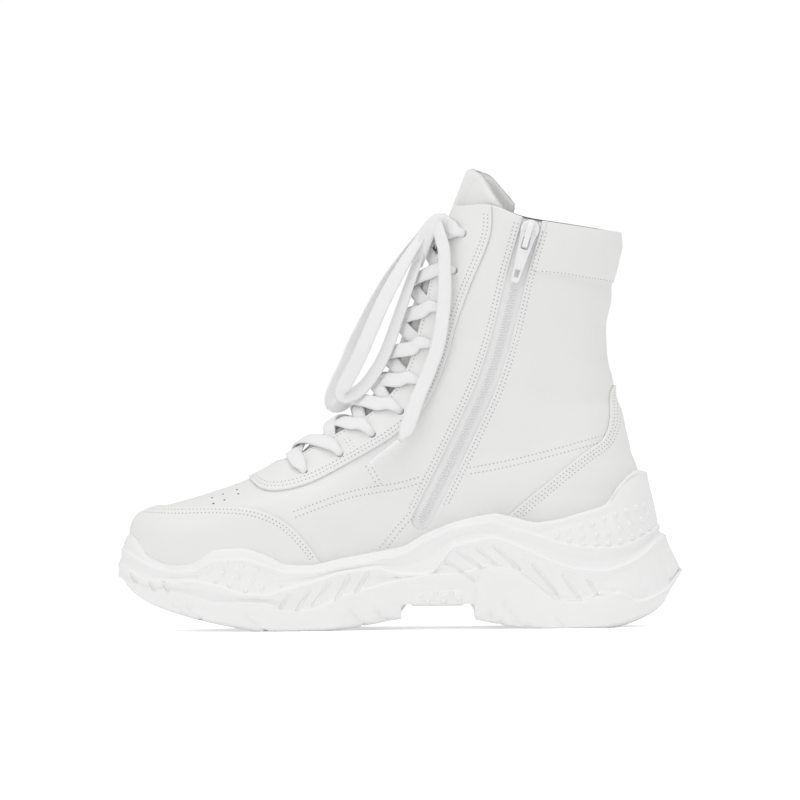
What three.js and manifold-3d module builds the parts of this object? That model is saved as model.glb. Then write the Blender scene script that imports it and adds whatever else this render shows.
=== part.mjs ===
// A high platform sneaker for the right foot, laced in front and zipped on the inner side.
// Millimetres. The toe points to -X, the inner (medial) side is -Y, and +Z is up.
// The origin is on the ground under the middle of the sole.
import * as THREE from 'three';
import { mergeVertices } from 'three/addons/utils/BufferGeometryUtils.js';
import Module from 'manifold-3d';

const wasm = await Module();
wasm.setup();

// Driving dimensions
const shoeLength = 300; // toe bumper to heel flare
const ballWidth = 90; // the upper across the ball of the foot
const soleMargin = 8.5; // how far the sole's sides stand out from the upper across the ball
const soleWidth = ballWidth + 2 * soleMargin;
const ankleWidth = 66; // the shaft at its narrowest
const shaftHeight = 162; // heel seat to the back of the collar
const ballPlatform = 27; // ground to the foot bed under the ball
const heelPlatform = 47; // ground to the foot bed under the heel
const toeLift = 6; // how far the bed turns up towards the toe
const cupHeight = 30; // the measure that the sole's side wall rises by above the bed
const wall = 2; // leather and lining
const overlayThickness = 1.2; // leather of a panel that is sewn on
const fit = 0.3; // between pieces that touch
const insoleThickness = 4;
const tongueThickness = 3.6;
const throatHalfWidth = 20; // from the ridge of the instep to the edge of a facing, where it is widest
const eyeletHalfWidth = 28; // from the ridge to an eyelet, where the rows are widest apart
const eyeletRadius = 2.2;
const laceWidth = 8;
const laceThickness = 1.8;
const zipWidth = 10.5;
const zipTape = 1.6;
const zipSunk = 0.2; // how far the chain lies below the leather's surface
const treadDepth = 3.5;
const ribDepth = 1;

// How finely the forms are divided
const aroundUpper = 30;
const upUpper = 18;
const aroundSole = 44;

const toeX = -shoeLength / 2;

// Small helpers
const clamp01 = (t) => Math.min(1, Math.max(0, t));
const lerp = (a, b, t) => a + (b - a) * t;
const smoothstep = (t) => clamp01(t) ** 2 * (3 - 2 * clamp01(t));
const range = (count) => Array.from({ length: count }, (_, i) => i);

// A smooth curve through keys and values that never overshoots, carried on straight past its ends.
function curveThrough(keys, values) {
  const last = keys.length - 1;
  const slopes = range(last).map((i) => (values[i + 1] - values[i]) / (keys[i + 1] - keys[i]));
  const tangents = keys.map((_, i) => {
    if (i === 0) return slopes[0];
    if (i === last) return slopes[last - 1];
    if (slopes[i - 1] * slopes[i] <= 0) return 0;
    return (2 * slopes[i - 1] * slopes[i]) / (slopes[i - 1] + slopes[i]);
  });
  return (at) => {
    if (at <= keys[0]) return values[0] + tangents[0] * (at - keys[0]);
    if (at >= keys[last]) return values[last] + tangents[last] * (at - keys[last]);
    let i = 0;
    while (at > keys[i + 1]) i += 1;
    const span = keys[i + 1] - keys[i];
    const t = (at - keys[i]) / span;
    return (
      values[i] * (1 + 2 * t) * (1 - t) ** 2 +
      tangents[i] * span * t * (1 - t) ** 2 +
      values[i + 1] * t * t * (3 - 2 * t) +
      tangents[i + 1] * span * t * t * (t - 1)
    );
  };
}

// Turns a table into one smooth curve for each named column after the first.
function curvesOf(columns, rows) {
  const keys = rows.map((row) => row[0]);
  return Object.fromEntries(
    columns.slice(1).map((name, i) => [name, curveThrough(keys, rows.map((row) => row[i + 1]))]),
  );
}

// The foot bed: level under the heel, down to the ball, and up again to the toe
const ballAt = 0.3;
const archFrom = 0.32;
const archSpan = 0.42;
function bedHeight(at) {
  const rise = (heelPlatform - ballPlatform) * smoothstep((at - archFrom) / archSpan);
  const lift = at < ballAt ? toeLift * ((ballAt - at) / ballAt) ** 2 : 0;
  return ballPlatform + rise + lift;
}
const xAt = (at) => toeX + at * shoeLength;
const atX = (x) => (x - toeX) / shoeLength;

// The last, as rings from the feather edge up to the collar. A row is one ring: where it starts in
// front and ends behind, as shares of the length and of the shaft's height above the bed, how much
// it is an oval of the shaft instead of a foot's outline, and how full it is in front and behind.
const lastRings = curvesOf(
  ['level', 'frontAt', 'frontUp', 'backAt', 'backUp', 'oval', 'frontFull', 'backFull', 'crown'],
  [
    [0, 0.031, 0.0, 0.908, 0.0, 0, 0.95, 0.94, 0],
    [0.06, 0.025, 0.073, 0.92, 0.071, 0, 0.99, 0.99, 0],
    [0.12, 0.026, 0.132, 0.924, 0.134, 0, 1.0, 1.01, 0],
    [0.18, 0.037, 0.18, 0.922, 0.186, 0, 0.98, 1.01, 0],
    [0.24, 0.062, 0.209, 0.915, 0.232, 0.02, 0.93, 1.0, 0],
    [0.3, 0.112, 0.243, 0.906, 0.275, 0.08, 0.87, 0.99, 0],
    [0.36, 0.173, 0.283, 0.901, 0.318, 0.18, 0.82, 0.97, 0],
    [0.42, 0.235, 0.329, 0.894, 0.37, 0.32, 0.8, 0.96, 0],
    [0.48, 0.297, 0.392, 0.887, 0.429, 0.48, 0.82, 0.96, 0],
    [0.54, 0.359, 0.462, 0.878, 0.495, 0.64, 0.86, 0.97, 0],
    [0.6, 0.416, 0.52, 0.872, 0.554, 0.78, 0.91, 0.98, 0],
    [0.66, 0.462, 0.588, 0.869, 0.62, 0.9, 0.95, 1.0, 0],
    [0.72, 0.49, 0.668, 0.868, 0.692, 0.97, 0.97, 1.0, 0],
    [0.78, 0.512, 0.769, 0.873, 0.767, 1, 0.99, 1.01, 0],
    [0.85, 0.536, 0.878, 0.88, 0.842, 1, 1.0, 1.03, 0],
    [0.91, 0.563, 0.981, 0.888, 0.908, 1, 1.02, 1.06, 0.004],
    [0.96, 0.584, 1.064, 0.894, 0.957, 1, 1.03, 1.08, 0.012],
    [1, 0.598, 1.122, 0.895, 1.0, 1, 1.04, 1.09, 0.026],
  ],
);

// Half breadths along a ring, as shares of the ball width, before the rounding of its ends
const footOutline = curvesOf(
  ['along', 'medial', 'lateral'],
  [
    [0, 0.55, 0.52],
    [0.15, 0.555, 0.53],
    [0.3, 0.515, 0.54],
    [0.45, 0.42, 0.52],
    [0.6, 0.375, 0.47],
    [0.75, 0.415, 0.465],
    [0.9, 0.56, 0.58],
    [1, 0.62, 0.63],
  ],
);
const bluntness = 0.8; // below 1 the toe's outline is blunter than an ellipse
const bluntReach = 0.4;
const toeTurn = 0.055; // how far the toe's tip lies to the medial side, as a share of the ball width
const toeTurnReach = 0.45;
const crownAt = 0.22; // where the collar's front corner is highest, along the ring
const crownSpread = 0.14;
const flatFrom = 0.5; // the level above which rings are flat

// How wide an outline is at an angle round it, before its half breadth: 0 at its two ends
function roundedEnds(angle, along) {
  const sine = Math.sin(angle);
  return Math.sign(sine) * Math.abs(sine) ** lerp(bluntness, 1, smoothstep(along / bluntReach));
}

// The last's surface. around runs from the front ridge round the medial side (0 to 0.5) and back
// round the lateral side.
function lastPoint(around, level) {
  const angle = 2 * Math.PI * around;
  const along = (1 - Math.cos(angle)) / 2;
  const frontAt = lastRings.frontAt(level);
  const backAt = lastRings.backAt(level);
  const at = lerp(frontAt, backAt, along);
  const frontZ = bedHeight(frontAt) + lastRings.frontUp(level) * shaftHeight;
  const backZ = bedHeight(backAt) + lastRings.backUp(level) * shaftHeight;
  const dip = bedHeight(at) - lerp(bedHeight(frontAt), bedHeight(backAt), along);
  const crown = lastRings.crown(level) * Math.exp(-(((along - crownAt) / crownSpread) ** 2));
  const medial = Math.sin(angle) > 0;
  const foot = ballWidth * footOutline[medial ? 'medial' : 'lateral'](along);
  const oval = clamp01(lastRings.oval(level));
  const full = lerp(lastRings.frontFull(level), lastRings.backFull(level), smoothstep(along));
  const ends = lerp(roundedEnds(angle, along), Math.sin(angle), oval);
  const half = lerp(foot, ankleWidth / 2, oval) * full * ends;
  const turn = -toeTurn * ballWidth * clamp01(1 - along / toeTurnReach) ** 2 * (1 - oval);
  return new THREE.Vector3(
    xAt(at),
    turn - half,
    lerp(frontZ, backZ, along) + dip * (1 - smoothstep(level / flatFrom)) + crown * shaftHeight,
  );
}

// The direction out of the last's surface
function lastNormal(around, level) {
  const step = 0.004;
  const low = Math.max(0, level - step);
  const alongRing = lastPoint(around + step, level).sub(lastPoint(around - step, level));
  const upward = lastPoint(around, level + step).sub(lastPoint(around, low));
  return alongRing.cross(upward).normalize();
}

const onLast = (around, level, offset) =>
  lastPoint(around, level).addScaledVector(lastNormal(around, level), offset);

// The facings, the tongue and the laces are laid out from the front ridge: a level on it, and a
// distance to the side of it, in the plane across the ridge there. The medial side is positive.
function ridgeTangent(level) {
  return lastPoint(0, level + 0.01).sub(lastPoint(0, level - 0.01)).setY(0).normalize();
}
function halved(low, high, tooFar) {
  let [from, to] = [low, high];
  for (let i = 0; i < 22; i += 1) {
    const middle = (from + to) / 2;
    if (tooFar(middle)) to = middle;
    else from = middle;
  }
  return (from + to) / 2;
}
const widestAround = 0.2;
function placeBeside(ridgeLevel, aside) {
  const ridge = lastPoint(0, ridgeLevel);
  const tangent = ridgeTangent(ridgeLevel);
  const side = Math.sign(aside);
  const aroundAt = (level) =>
    side *
    halved(0, widestAround, (around) => {
      const point = lastPoint(side * around, level);
      return Math.abs(point.y - ridge.y) > Math.abs(aside);
    });
  const level = halved(0, 1.4, (at) => lastPoint(aroundAt(at), at).sub(ridge).dot(tangent) > 0);
  return { around: aroundAt(level), level };
}
function besideRidge(ridgeLevel, aside, offset) {
  const { around, level } = placeBeside(ridgeLevel, aside);
  return onLast(around, level, offset);
}

// Solids
function solidFrom(points, faces) {
  const geometry = new THREE.BufferGeometry();
  const numbers = points.flatMap((p) => [p.x, p.y, p.z]);
  geometry.setAttribute('position', new THREE.Float32BufferAttribute(numbers, 3));
  geometry.setIndex(faces.flat());
  return solidOf(geometry);
}

function solidOf(geometry) {
  geometry.deleteAttribute('normal');
  geometry.deleteAttribute('uv');
  const merged = mergeVertices(geometry, 1e-4);
  const solid = new wasm.Manifold(
    new wasm.Mesh({
      numProp: 3,
      vertProperties: merged.attributes.position.array,
      triVerts: new Uint32Array(merged.index.array),
    }),
  );
  return solid;
}

function geometryOf(solid) {
  const mesh = solid.getMesh();
  const geometry = new THREE.BufferGeometry();
  geometry.setAttribute('position', new THREE.BufferAttribute(new Float32Array(mesh.vertProperties), 3));
  geometry.setIndex(new THREE.BufferAttribute(new Uint32Array(mesh.triVerts), 1));
  geometry.computeVertexNormals();
  return geometry;
}

const joined = (solids) => solids.reduce((all, next) => all.add(next));
const cutBy = (solid, cutters) => cutters.reduce((left, cutter) => left.subtract(cutter), solid);

// Side walls between rings of equal length, first ring lowest
function bandFaces(ringCount, size) {
  const faces = [];
  for (let j = 0; j < ringCount - 1; j += 1) {
    for (let i = 0; i < size; i += 1) {
      const a = j * size + i;
      const b = j * size + ((i + 1) % size);
      faces.push([a, b, b + size], [a, b + size, a + size]);
    }
  }
  return faces;
}

// A cap across a ring whose points i and size - i face each other
function ladderFaces(first, size, upward) {
  const faces = [];
  for (let i = 0; i < size / 2; i += 1) {
    const a = first + i;
    const b = first + i + 1;
    const c = first + ((size - i) % size);
    const d = first + size - i - 1;
    if (i > 0) faces.push(upward ? [a, b, c] : [a, c, b]);
    if (i < size / 2 - 1) faces.push(upward ? [b, d, c] : [b, c, d]);
  }
  return faces;
}

function stackedRings(rings) {
  const size = rings[0].length;
  return solidFrom(rings.flat(), [
    ...bandFaces(rings.length, size),
    ...ladderFaces(0, size, false),
    ...ladderFaces((rings.length - 1) * size, size, true),
  ]);
}

// A hollow band between two stacks of rings, open at both ends
function hollowRings(outerRings, innerRings) {
  const size = outerRings[0].length;
  const count = outerRings.length;
  const inner = count * size;
  const faces = bandFaces(count, size);
  bandFaces(count, size).forEach(([a, b, c]) => faces.push([inner + a, inner + c, inner + b]));
  for (let i = 0; i < size; i += 1) {
    const next = (i + 1) % size;
    const top = (count - 1) * size;
    faces.push([i, inner + i, inner + next], [i, inner + next, next]);
    faces.push([top + i, top + next, inner + top + next], [top + i, inner + top + next, inner + top + i]);
  }
  return solidFrom([...outerRings.flat(), ...innerRings.flat()], faces);
}

// A flat outline in the side view, as [x, z] pairs, pushed through from one y to another
function sidePrism(outline, fromY, toY) {
  const shape = new THREE.Shape(outline.map(([x, z]) => new THREE.Vector2(x, z)));
  const geometry = new THREE.ExtrudeGeometry(shape, { depth: toY - fromY, bevelEnabled: false });
  geometry.rotateX(Math.PI / 2);
  geometry.translate(0, toY, 0);
  return solidOf(geometry);
}

// A bar with a flat section swept along points. flats gives, at each point, the way that its flat
// side faces.
function flatBar(points, flats, width, thickness, corners) {
  const rings = points.map((point, i) => {
    const ahead = points[Math.min(i + 1, points.length - 1)].clone();
    const along = ahead.sub(points[Math.max(i - 1, 0)]).normalize();
    const across = new THREE.Vector3().crossVectors(flats[i], along).normalize();
    const facing = new THREE.Vector3().crossVectors(along, across).normalize();
    return range(corners).map((c) => {
      const turn = (2 * Math.PI * (c + 0.5)) / corners;
      return point
        .clone()
        .addScaledVector(across, (Math.cos(turn) * width) / 2 / Math.cos(Math.PI / corners))
        .addScaledVector(facing, (Math.sin(turn) * thickness) / 2 / Math.sin(Math.PI / corners));
    });
  });
  const first = rings.flat().length;
  const faces = bandFaces(rings.length, corners);
  range(corners).forEach((c) => {
    const next = (c + 1) % corners;
    const top = (rings.length - 1) * corners;
    faces.push([first, next, c], [first + 1, top + c, top + next]);
  });
  const solid = solidFrom([...rings.flat(), points[0], points[points.length - 1]], faces);
  return solid;
}

// Rings of the last at an offset, all on the same divisions, so that offset forms stay parallel
const levelsTo = (top) => range(upUpper + 1).map((j) => (j / upUpper) * top);
const ringOnLast = (level, offset) =>
  range(aroundUpper).map((i) => onLast(i / aroundUpper, level, offset));
const lastShell = (outer, inner) =>
  hollowRings(
    levelsTo(1).map((v) => ringOnLast(v, outer)),
    levelsTo(1).map((v) => ringOnLast(v, inner)),
  );

// The last as a filled form up to the level that the sole's cup reaches, a little deeper than the bed
const cupLevels = 8;
function filledLast(offset) {
  const rings = levelsTo(1).slice(0, cupLevels).map((v) => ringOnLast(v, offset));
  const floor = rings[0].map((p) => p.clone().setZ(p.z - fit));
  return stackedRings([floor, ...rings]);
}

// Panel edges in the side view: share of the length, and share of the shaft's height above the
// ball's bed
const panelPoint = ([at, up]) => [xAt(at), ballPlatform + up * shaftHeight];
const toeCapEdge = [
  [0.052, 0.24], [0.1, 0.238], [0.165, 0.24], [0.218, 0.237],
  [0.26, 0.222], [0.3, 0.185], [0.33, 0.13], [0.37, 0.03],
].map(panelPoint);
const counterEdge = [
  [0.9, 0.642], [0.876, 0.62], [0.872, 0.56], [0.866, 0.48],
  [0.856, 0.445], [0.83, 0.41], [0.765, 0.315],
  [0.69, 0.2], [0.64, 0.1],
].map(panelPoint);
const eyestayEdge = [
  [0.225, 0.36], [0.243, 0.312], [0.262, 0.292],
  [0.29, 0.29], [0.34, 0.313], [0.41, 0.378], [0.49, 0.465],
  [0.54, 0.545], [0.568, 0.63], [0.585, 0.71],
  [0.604, 0.83], [0.628, 0.95], [0.66, 1.09], [0.668, 1.15],
  [0.665, 1.3],
].map(panelPoint);
const collarEdge = [
  [0.775, 1.3], [0.765, 1.16], [0.752, 1.09], [0.738, 1.01], [0.8, 0.985], [0.95, 0.935],
].map(panelPoint);
const zipCentre = [
  [0.745, 1.25], [0.738, 1.165], [0.7257, 1.083], [0.712, 1.0],
  [0.685, 0.8], [0.655, 0.63], [0.62, 0.49], [0.585, 0.36], [0.553, 0.245],
  [0.538, 0.19],
].map(panelPoint);

// A band of the side view along a line, as an outline
function bandOutline(line, width, shorter) {
  const curve = new THREE.CatmullRomCurve3(line.map(([x, z]) => new THREE.Vector3(x, 0, z)));
  const steps = 14;
  const length = curve.getLength();
  const stations = range(steps + 1).map((i) => lerp(0, 1 - shorter / length, i / steps));
  const sides = [1, -1].map((side) =>
    stations.map((t) => {
      const tangent = curve.getTangentAt(t);
      const point = curve.getPointAt(t);
      return [point.x - (tangent.z * side * width) / 2, point.z + (tangent.x * side * width) / 2];
    }),
  );
  return [...sides[0], ...sides[1].reverse()];
}

const farY = soleWidth;
const highZ = ballPlatform + shaftHeight * 1.5;
const below = -10;
const toeCapCorners = [[toeCapEdge[7][0], below], [2 * toeX, below]];
const toeCapOutline = [[2 * toeX, toeCapEdge[0][1]], ...toeCapEdge, ...toeCapCorners];
const toeCapRegion = sidePrism(toeCapOutline, -farY, farY);
const counterCorners = [
  [counterEdge[8][0], below], [-2 * toeX, below], [-2 * toeX, counterEdge[0][1]],
];
const counterRegion = sidePrism([...counterEdge, ...counterCorners], -farY, farY);
const eyestayCorners = [[toeX, highZ], [toeX, eyestayEdge[0][1]]];
const eyestayRegion = sidePrism([...eyestayEdge, ...eyestayCorners], -farY, farY);
const collarCorners = [[-toeX, collarEdge[5][1]], [-toeX, highZ], [collarEdge[0][0], highZ]];
const collarRegion = sidePrism([...collarEdge, ...collarCorners], -farY, farY);
const zipSlot = sidePrism(bandOutline(zipCentre, zipWidth, 0), -farY, 0);
const zipFill = sidePrism(bandOutline(zipCentre, zipWidth - 2 * fit, fit), -farY, 0);

// The opening between the facings: half its width along the ridge, as shares of the widest, and a
// round toe end
const throatFrom = 0.468;
const throatRound = 0.045;
const throatShare = curvesOf(
  ['level', 'half', 'eyelet'],
  [
    [0.48, 0.72, 0.93],
    [0.52, 0.78, 0.95],
    [0.56, 0.88, 0.97],
    [0.6, 0.98, 0.99],
    [0.64, 1, 1],
    [0.7, 0.97, 0.96],
    [0.76, 0.91, 0.91],
    [0.83, 0.84, 0.89],
    [0.9, 0.66, 0.87],
    [0.96, 0.5, 0.82],
    [1.02, 0.42, 0.78],
  ],
);
function throatHalf(level) {
  const round = Math.sqrt(1 - clamp01(1 - (level - throatFrom) / throatRound) ** 2);
  return throatHalfWidth * throatShare.half(level) * round;
}
function throatCutter(narrower) {
  const above = 8;
  const under = 22;
  const levels = [0.002, 0.01, 0.025, 0.045, 0.08, 0.13, 0.19, 0.25, 0.32, 0.39, 0.46, 0.54, 0.62].map(
    (more) => throatFrom + more,
  );
  const rings = levels.map((level) => {
    const half = Math.max(0.4, throatHalf(level) - narrower);
    const tangent = ridgeTangent(level);
    const out = new THREE.Vector3(-tangent.z, 0, tangent.x);
    const corners = [[-half, -under], [-half, above], [half, above], [half, -under]];
    return corners.map(([aside, up]) => {
      const corner = lastPoint(0, level).addScaledVector(out, up);
      corner.y -= aside;
      return corner;
    });
  });
  const top = (rings.length - 1) * 4;
  return solidFrom(rings.flat(), [
    ...bandFaces(rings.length, 4),
    [0, 2, 1], [0, 3, 2], [top, top + 1, top + 2], [top, top + 2, top + 3],
  ]);
}

// Eyelets: punched holes, one row in each facing, from the toe end up
const eyeletLevels = [0.495, 0.552, 0.605, 0.654, 0.706, 0.766, 0.834, 0.9, 0.96];
const eyeletAside = (level) => eyeletHalfWidth * throatShare.eyelet(level);
function eyeletCutters() {
  const sides = 6;
  return eyeletLevels.flatMap((ridgeLevel) =>
    [1, -1].map((side) => {
      const { around, level } = placeBeside(ridgeLevel, side * eyeletAside(ridgeLevel));
      const pin = new THREE.CylinderGeometry(eyeletRadius, eyeletRadius, 6 * wall, sides);
      const along = new THREE.Vector3(0, 1, 0);
      const turn = new THREE.Quaternion().setFromUnitVectors(along, lastNormal(around, level));
      pin.applyQuaternion(turn);
      pin.translate(...lastPoint(around, level).toArray());
      return solidOf(pin);
    }),
  );
}

// Upper and the panels sewn on it
const overlayOuter = fit + overlayThickness;
const throat = throatCutter(0);
const eyelets = joined(eyeletCutters());
const upper = cutBy(lastShell(0, -wall), [throat, eyelets, zipSlot]);
const overlayShell = lastShell(overlayOuter, fit);
const toeCap = overlayShell.intersect(toeCapRegion);
const heelCounter = overlayShell.intersect(counterRegion);
const eyestay = cutBy(overlayShell.intersect(eyestayRegion), [throat, eyelets]);
const collarPad = 2.2; // the collar stands out more, because it is padded
const collar = cutBy(lastShell(fit + collarPad, fit).intersect(collarRegion), [zipSlot]);

// Tongue: a strip of the last's surface behind the facings that swells forward in the throat and
// stands above the collar
const tongueFrom = 0.455;
const tongueTop = 1.08;
const tongueDrop = 0.046; // how far its top corners lie below its tip, as a level
const tongueHalfBase = 25;
const tongueMedial = { halfTop: 31, roundness: 3 };
const tongueLateral = { halfTop: 35, roundness: 6 };
const tongueSunk = 1.5; // in the throat, below the facings' surface
const laceRoom = 2.4; // behind a facing, for the lace
const tongueInThroat = [0, 0.35, 0.64, 0.92]; // columns as shares of the throat's half width
const tongueBeyond = [0.5, 1]; // and from there to the tongue's edge
function tongueStation(column, rise, sign, { halfTop, roundness }, depth) {
  const half = lerp(tongueHalfBase, halfTop, rise);
  const throatAt = (level) => throatHalf(Math.min(Math.max(level, throatFrom + throatRound), 1));
  const narrow = throatAt(lerp(tongueFrom, tongueTop, rise));
  const aside = column < tongueInThroat.length
    ? tongueInThroat[column] * narrow
    : lerp(narrow, half, tongueBeyond[column - tongueInThroat.length]);
  const share = aside / half;
  const level = lerp(tongueFrom, tongueTop - tongueDrop * share ** roundness, rise);
  const underVamp = 1 - smoothstep((level - throatFrom - 0.02) / throatRound);
  const underFacing = smoothstep((aside / throatAt(level) - 0.6) / 0.3);
  const sunk = lerp(lerp(tongueSunk, wall + laceRoom, underFacing), wall + 2 * fit, underVamp);
  return besideRidge(level, sign * aside, -sunk - depth * lerp(1, 0.6, share * share));
}
function tongueSolid() {
  const up = 12;
  const columns = tongueInThroat.length + tongueBeyond.length;
  const across = 2 * columns - 1;
  const sheet = (depth) =>
    range(up + 1).map((j) => [
      ...range(columns - 1).map((i) => tongueStation(columns - 1 - i, j / up, 1, tongueMedial, depth)),
      ...range(columns).map((i) => tongueStation(i, j / up, -1, tongueLateral, depth)),
    ]);
  const front = sheet(0);
  const back = sheet(tongueThickness);
  const points = [...front.flat(), ...back.flat()];
  const offset = front.flat().length;
  const faces = [];
  for (let j = 0; j < up; j += 1) {
    for (let i = 0; i < across - 1; i += 1) {
      const a = j * across + i;
      const [b, c, d] = [a + 1, a + across + 1, a + across];
      faces.push([a, c, b], [a, d, c]);
      faces.push([offset + a, offset + b, offset + c], [offset + a, offset + c, offset + d]);
    }
  }
  const rim = [
    ...range(across - 1).map((i) => [i, i + 1]),
    ...range(across - 1).map((i) => [up * across + i + 1, up * across + i]),
    ...range(up).map((j) => [(j + 1) * across, j * across]),
    ...range(up).map((j) => [(j + 1) * across - 1, (j + 2) * across - 1]),
  ];
  rim.forEach(([a, b]) => faces.push([a, b, offset + b], [a, offset + b, offset + a]));
  return solidFrom(points, faces);
}
const tongue = tongueSolid();

// Insole: a plate inside the upper's wall
const insoleClearance = 1;
const insole = stackedRings(
  [0, insoleThickness].map((up) =>
    ringOnLast(up / shaftHeight, -wall - insoleClearance).map((p) =>
      p.clone().setZ(bedHeight(atX(p.x)) + up),
    ),
  ),
);

// The sole's outline, as half breadths in shares of its width, before the rounding of its ends
const soleOutline = curvesOf(
  ['along', 'medial', 'lateral'],
  [
    [0, 0.51, 0.49],
    [0.08, 0.52, 0.505],
    [0.2, 0.53, 0.525],
    [0.33, 0.507, 0.542],
    [0.45, 0.435, 0.51],
    [0.55, 0.406, 0.47],
    [0.65, 0.415, 0.458],
    [0.75, 0.47, 0.49],
    [0.85, 0.582, 0.588],
    [0.92, 0.68, 0.685],
    [1, 0.79, 0.79],
  ],
);

// The lines that run round the sole's side wall, by share of its length. The three lowest are
// shares of the bed's height there, and the two highest are shares of the cup's height above the
// bed.
const soleLines = curvesOf(
  ['at', 'tread', 'split', 'ridge', 'groove', 'top'],
  [
    [0, 0.87, 0.92, 1.1, 0.4, 0.66],
    [0.025, 0.66, 0.84, 0.98, 0.28, 0.66],
    [0.058, 0.48, 0.73, 0.86, 0.13, 0.31],
    [0.095, 0.35, 0.73, 0.87, 0.06, 0.2],
    [0.13, 0.25, 0.66, 0.91, 0.1, 0.25],
    [0.175, 0.14, 0.54, 0.86, 0.32, 0.53],
    [0.22, 0.05, 0.57, 0.72, 0.35, 0.56],
    [0.26, -0.03, 0.56, 0.7, 0.25, 0.46],
    [0.3, -0.045, 0.4, 0.82, 0.13, 0.28],
    [0.34, -0.03, 0.42, 0.93, 0.12, 0.26],
    [0.4, 0.03, 0.64, 1.05, 0.17, 0.32],
    [0.45, 0.1, 0.72, 1.02, 0.17, 0.32],
    [0.5, 0.16, 0.76, 0.84, 0.16, 0.3],
    [0.545, 0.16, 0.76, 0.77, 0.3, 0.43],
    [0.6, 0.15, 0.7, 1.06, 0.38, 0.51],
    [0.66, 0.07, 0.76, 1.06, 0.38, 0.53],
    [0.7, 0.02, 0.71, 0.95, 0.2, 0.42],
    [0.74, -0.015, 0.52, 0.83, 0.08, 0.31],
    [0.78, -0.03, 0.32, 0.72, -0.06, 0.36],
    [0.82, -0.03, 0.34, 0.65, -0.14, 0.47],
    [0.86, -0.015, 0.4, 0.64, -0.17, 0.6],
    [0.89, 0.02, 0.38, 0.69, -0.14, 0.98],
    [0.92, 0.08, 0.3, 0.78, -0.04, 1.2],
    [0.96, 0.22, 0.38, 1.0, 0.22, 1.22],
    [1, 0.6, 0.65, 1.2, 0.5, 1.22],
  ],
);
// The tread's line dips a little below the ground where the ground cuts it flat.
const treadHeight = (at) => bedHeight(at) * soleLines.tread(at);
const splitHeight = (at) => bedHeight(at) * soleLines.split(at);
const ridgeHeight = (at) => bedHeight(at) * soleLines.ridge(at);
const grooveHeight = (at) => bedHeight(at) + cupHeight * soleLines.groove(at);
const topHeight = (at) => bedHeight(at) + cupHeight * soleLines.top(at);

// The side wall, lowest ring first: which line it follows, how far above it, and how far in from
// the outline at the toe, at the sides and at the heel
const soleWall = [
  { line: treadHeight, above: 0, toe: 9, side: 5, heel: 15 },
  { line: treadHeight, above: 2.4, toe: 5, side: 2, heel: 8 },
  { line: splitHeight, above: -0.2, toe: 0.6, side: 0.4, heel: 0 },
  { line: splitHeight, above: 0.2, toe: 1.6, side: 1.8, heel: 1.4 },
  { line: (at) => lerp(splitHeight(at), ridgeHeight(at), 0.5), above: 0, toe: 1.4, side: 2.4, heel: 5.4 },
  { line: ridgeHeight, above: -0.6, toe: 0, side: 0.8, heel: 10 },
  { line: ridgeHeight, above: 0.6, toe: 0.4, side: 1.4, heel: 10.8 },
  { line: (at) => lerp(ridgeHeight(at), grooveHeight(at), 0.55), above: 0, toe: 2.2, side: 3.2, heel: 13 },
  { line: grooveHeight, above: -0.6, toe: 1.6, side: 2.2, heel: 12.2 },
  { line: grooveHeight, above: 0.8, toe: 2.6, side: 3, heel: 13 },
  { line: (at) => lerp(grooveHeight(at), topHeight(at), 0.5), above: 0, toe: 3.6, side: 3.6, heel: 15.5 },
  { line: topHeight, above: -0.8, toe: 6, side: 4.8, heel: 20 },
  { line: topHeight, above: 0, toe: 9.5, side: 8, heel: 24 },
];
function soleRing({ line, above, toe, side, heel }) {
  return range(aroundSole).map((i) => {
    const angle = (2 * Math.PI * i) / aroundSole;
    const along = (1 - Math.cos(angle)) / 2;
    const medial = Math.sin(angle) > 0;
    const half = soleWidth * soleOutline[medial ? 'medial' : 'lateral'](along) * roundedEnds(angle, along);
    const turn = -toeTurn * ballWidth * clamp01(1 - along / toeTurnReach) ** 2;
    const x = lerp(toeX + toe, -toeX - heel, along);
    return new THREE.Vector3(x, turn - half * (1 - (2 * side) / soleWidth), line(atX(x)) + above);
  });
}

// The side view of what lies under the split line between two places, as an outline
function underSplit(from, to, above, shorter) {
  const steps = 26;
  const line = range(steps + 1).map((i) => {
    const at = lerp(from, to, i / steps);
    const x = Math.min(Math.max(xAt(at), xAt(from) + shorter), xAt(to) - shorter);
    return [x, splitHeight(atX(x)) + above];
  });
  return sidePrism([...line, [line[steps][0], below], [line[0][0], below]], -farY, farY);
}

// A slanting slot in the side view, from its top to its bottom end
function slotOutline([topAt, topUp], [bottomAt, bottomUp], width) {
  const top = new THREE.Vector2(xAt(topAt), topUp * heelPlatform);
  const bottom = new THREE.Vector2(xAt(bottomAt), bottomUp * heelPlatform);
  const across = bottom.clone().sub(top).normalize().rotateAround(new THREE.Vector2(), Math.PI / 2);
  const corners = [[top, 1], [bottom, 1], [bottom, -1], [top, -1]];
  return corners.map(([end, side]) => {
    const reach = (side * width) / 2;
    return [end.x + across.x * reach, end.y + across.y * reach];
  });
}

// Half breadth of the side wall where a rib is cut, at the height of its middle
function wallBreadth(at, side) {
  const along = clamp01(at);
  const outline = soleOutline[side < 0 ? 'medial' : 'lateral'];
  const half = outline(along) * roundedEnds(Math.acos(1 - 2 * along), along);
  return soleWidth * half * (1 - (2 * 2.2) / soleWidth);
}

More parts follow.
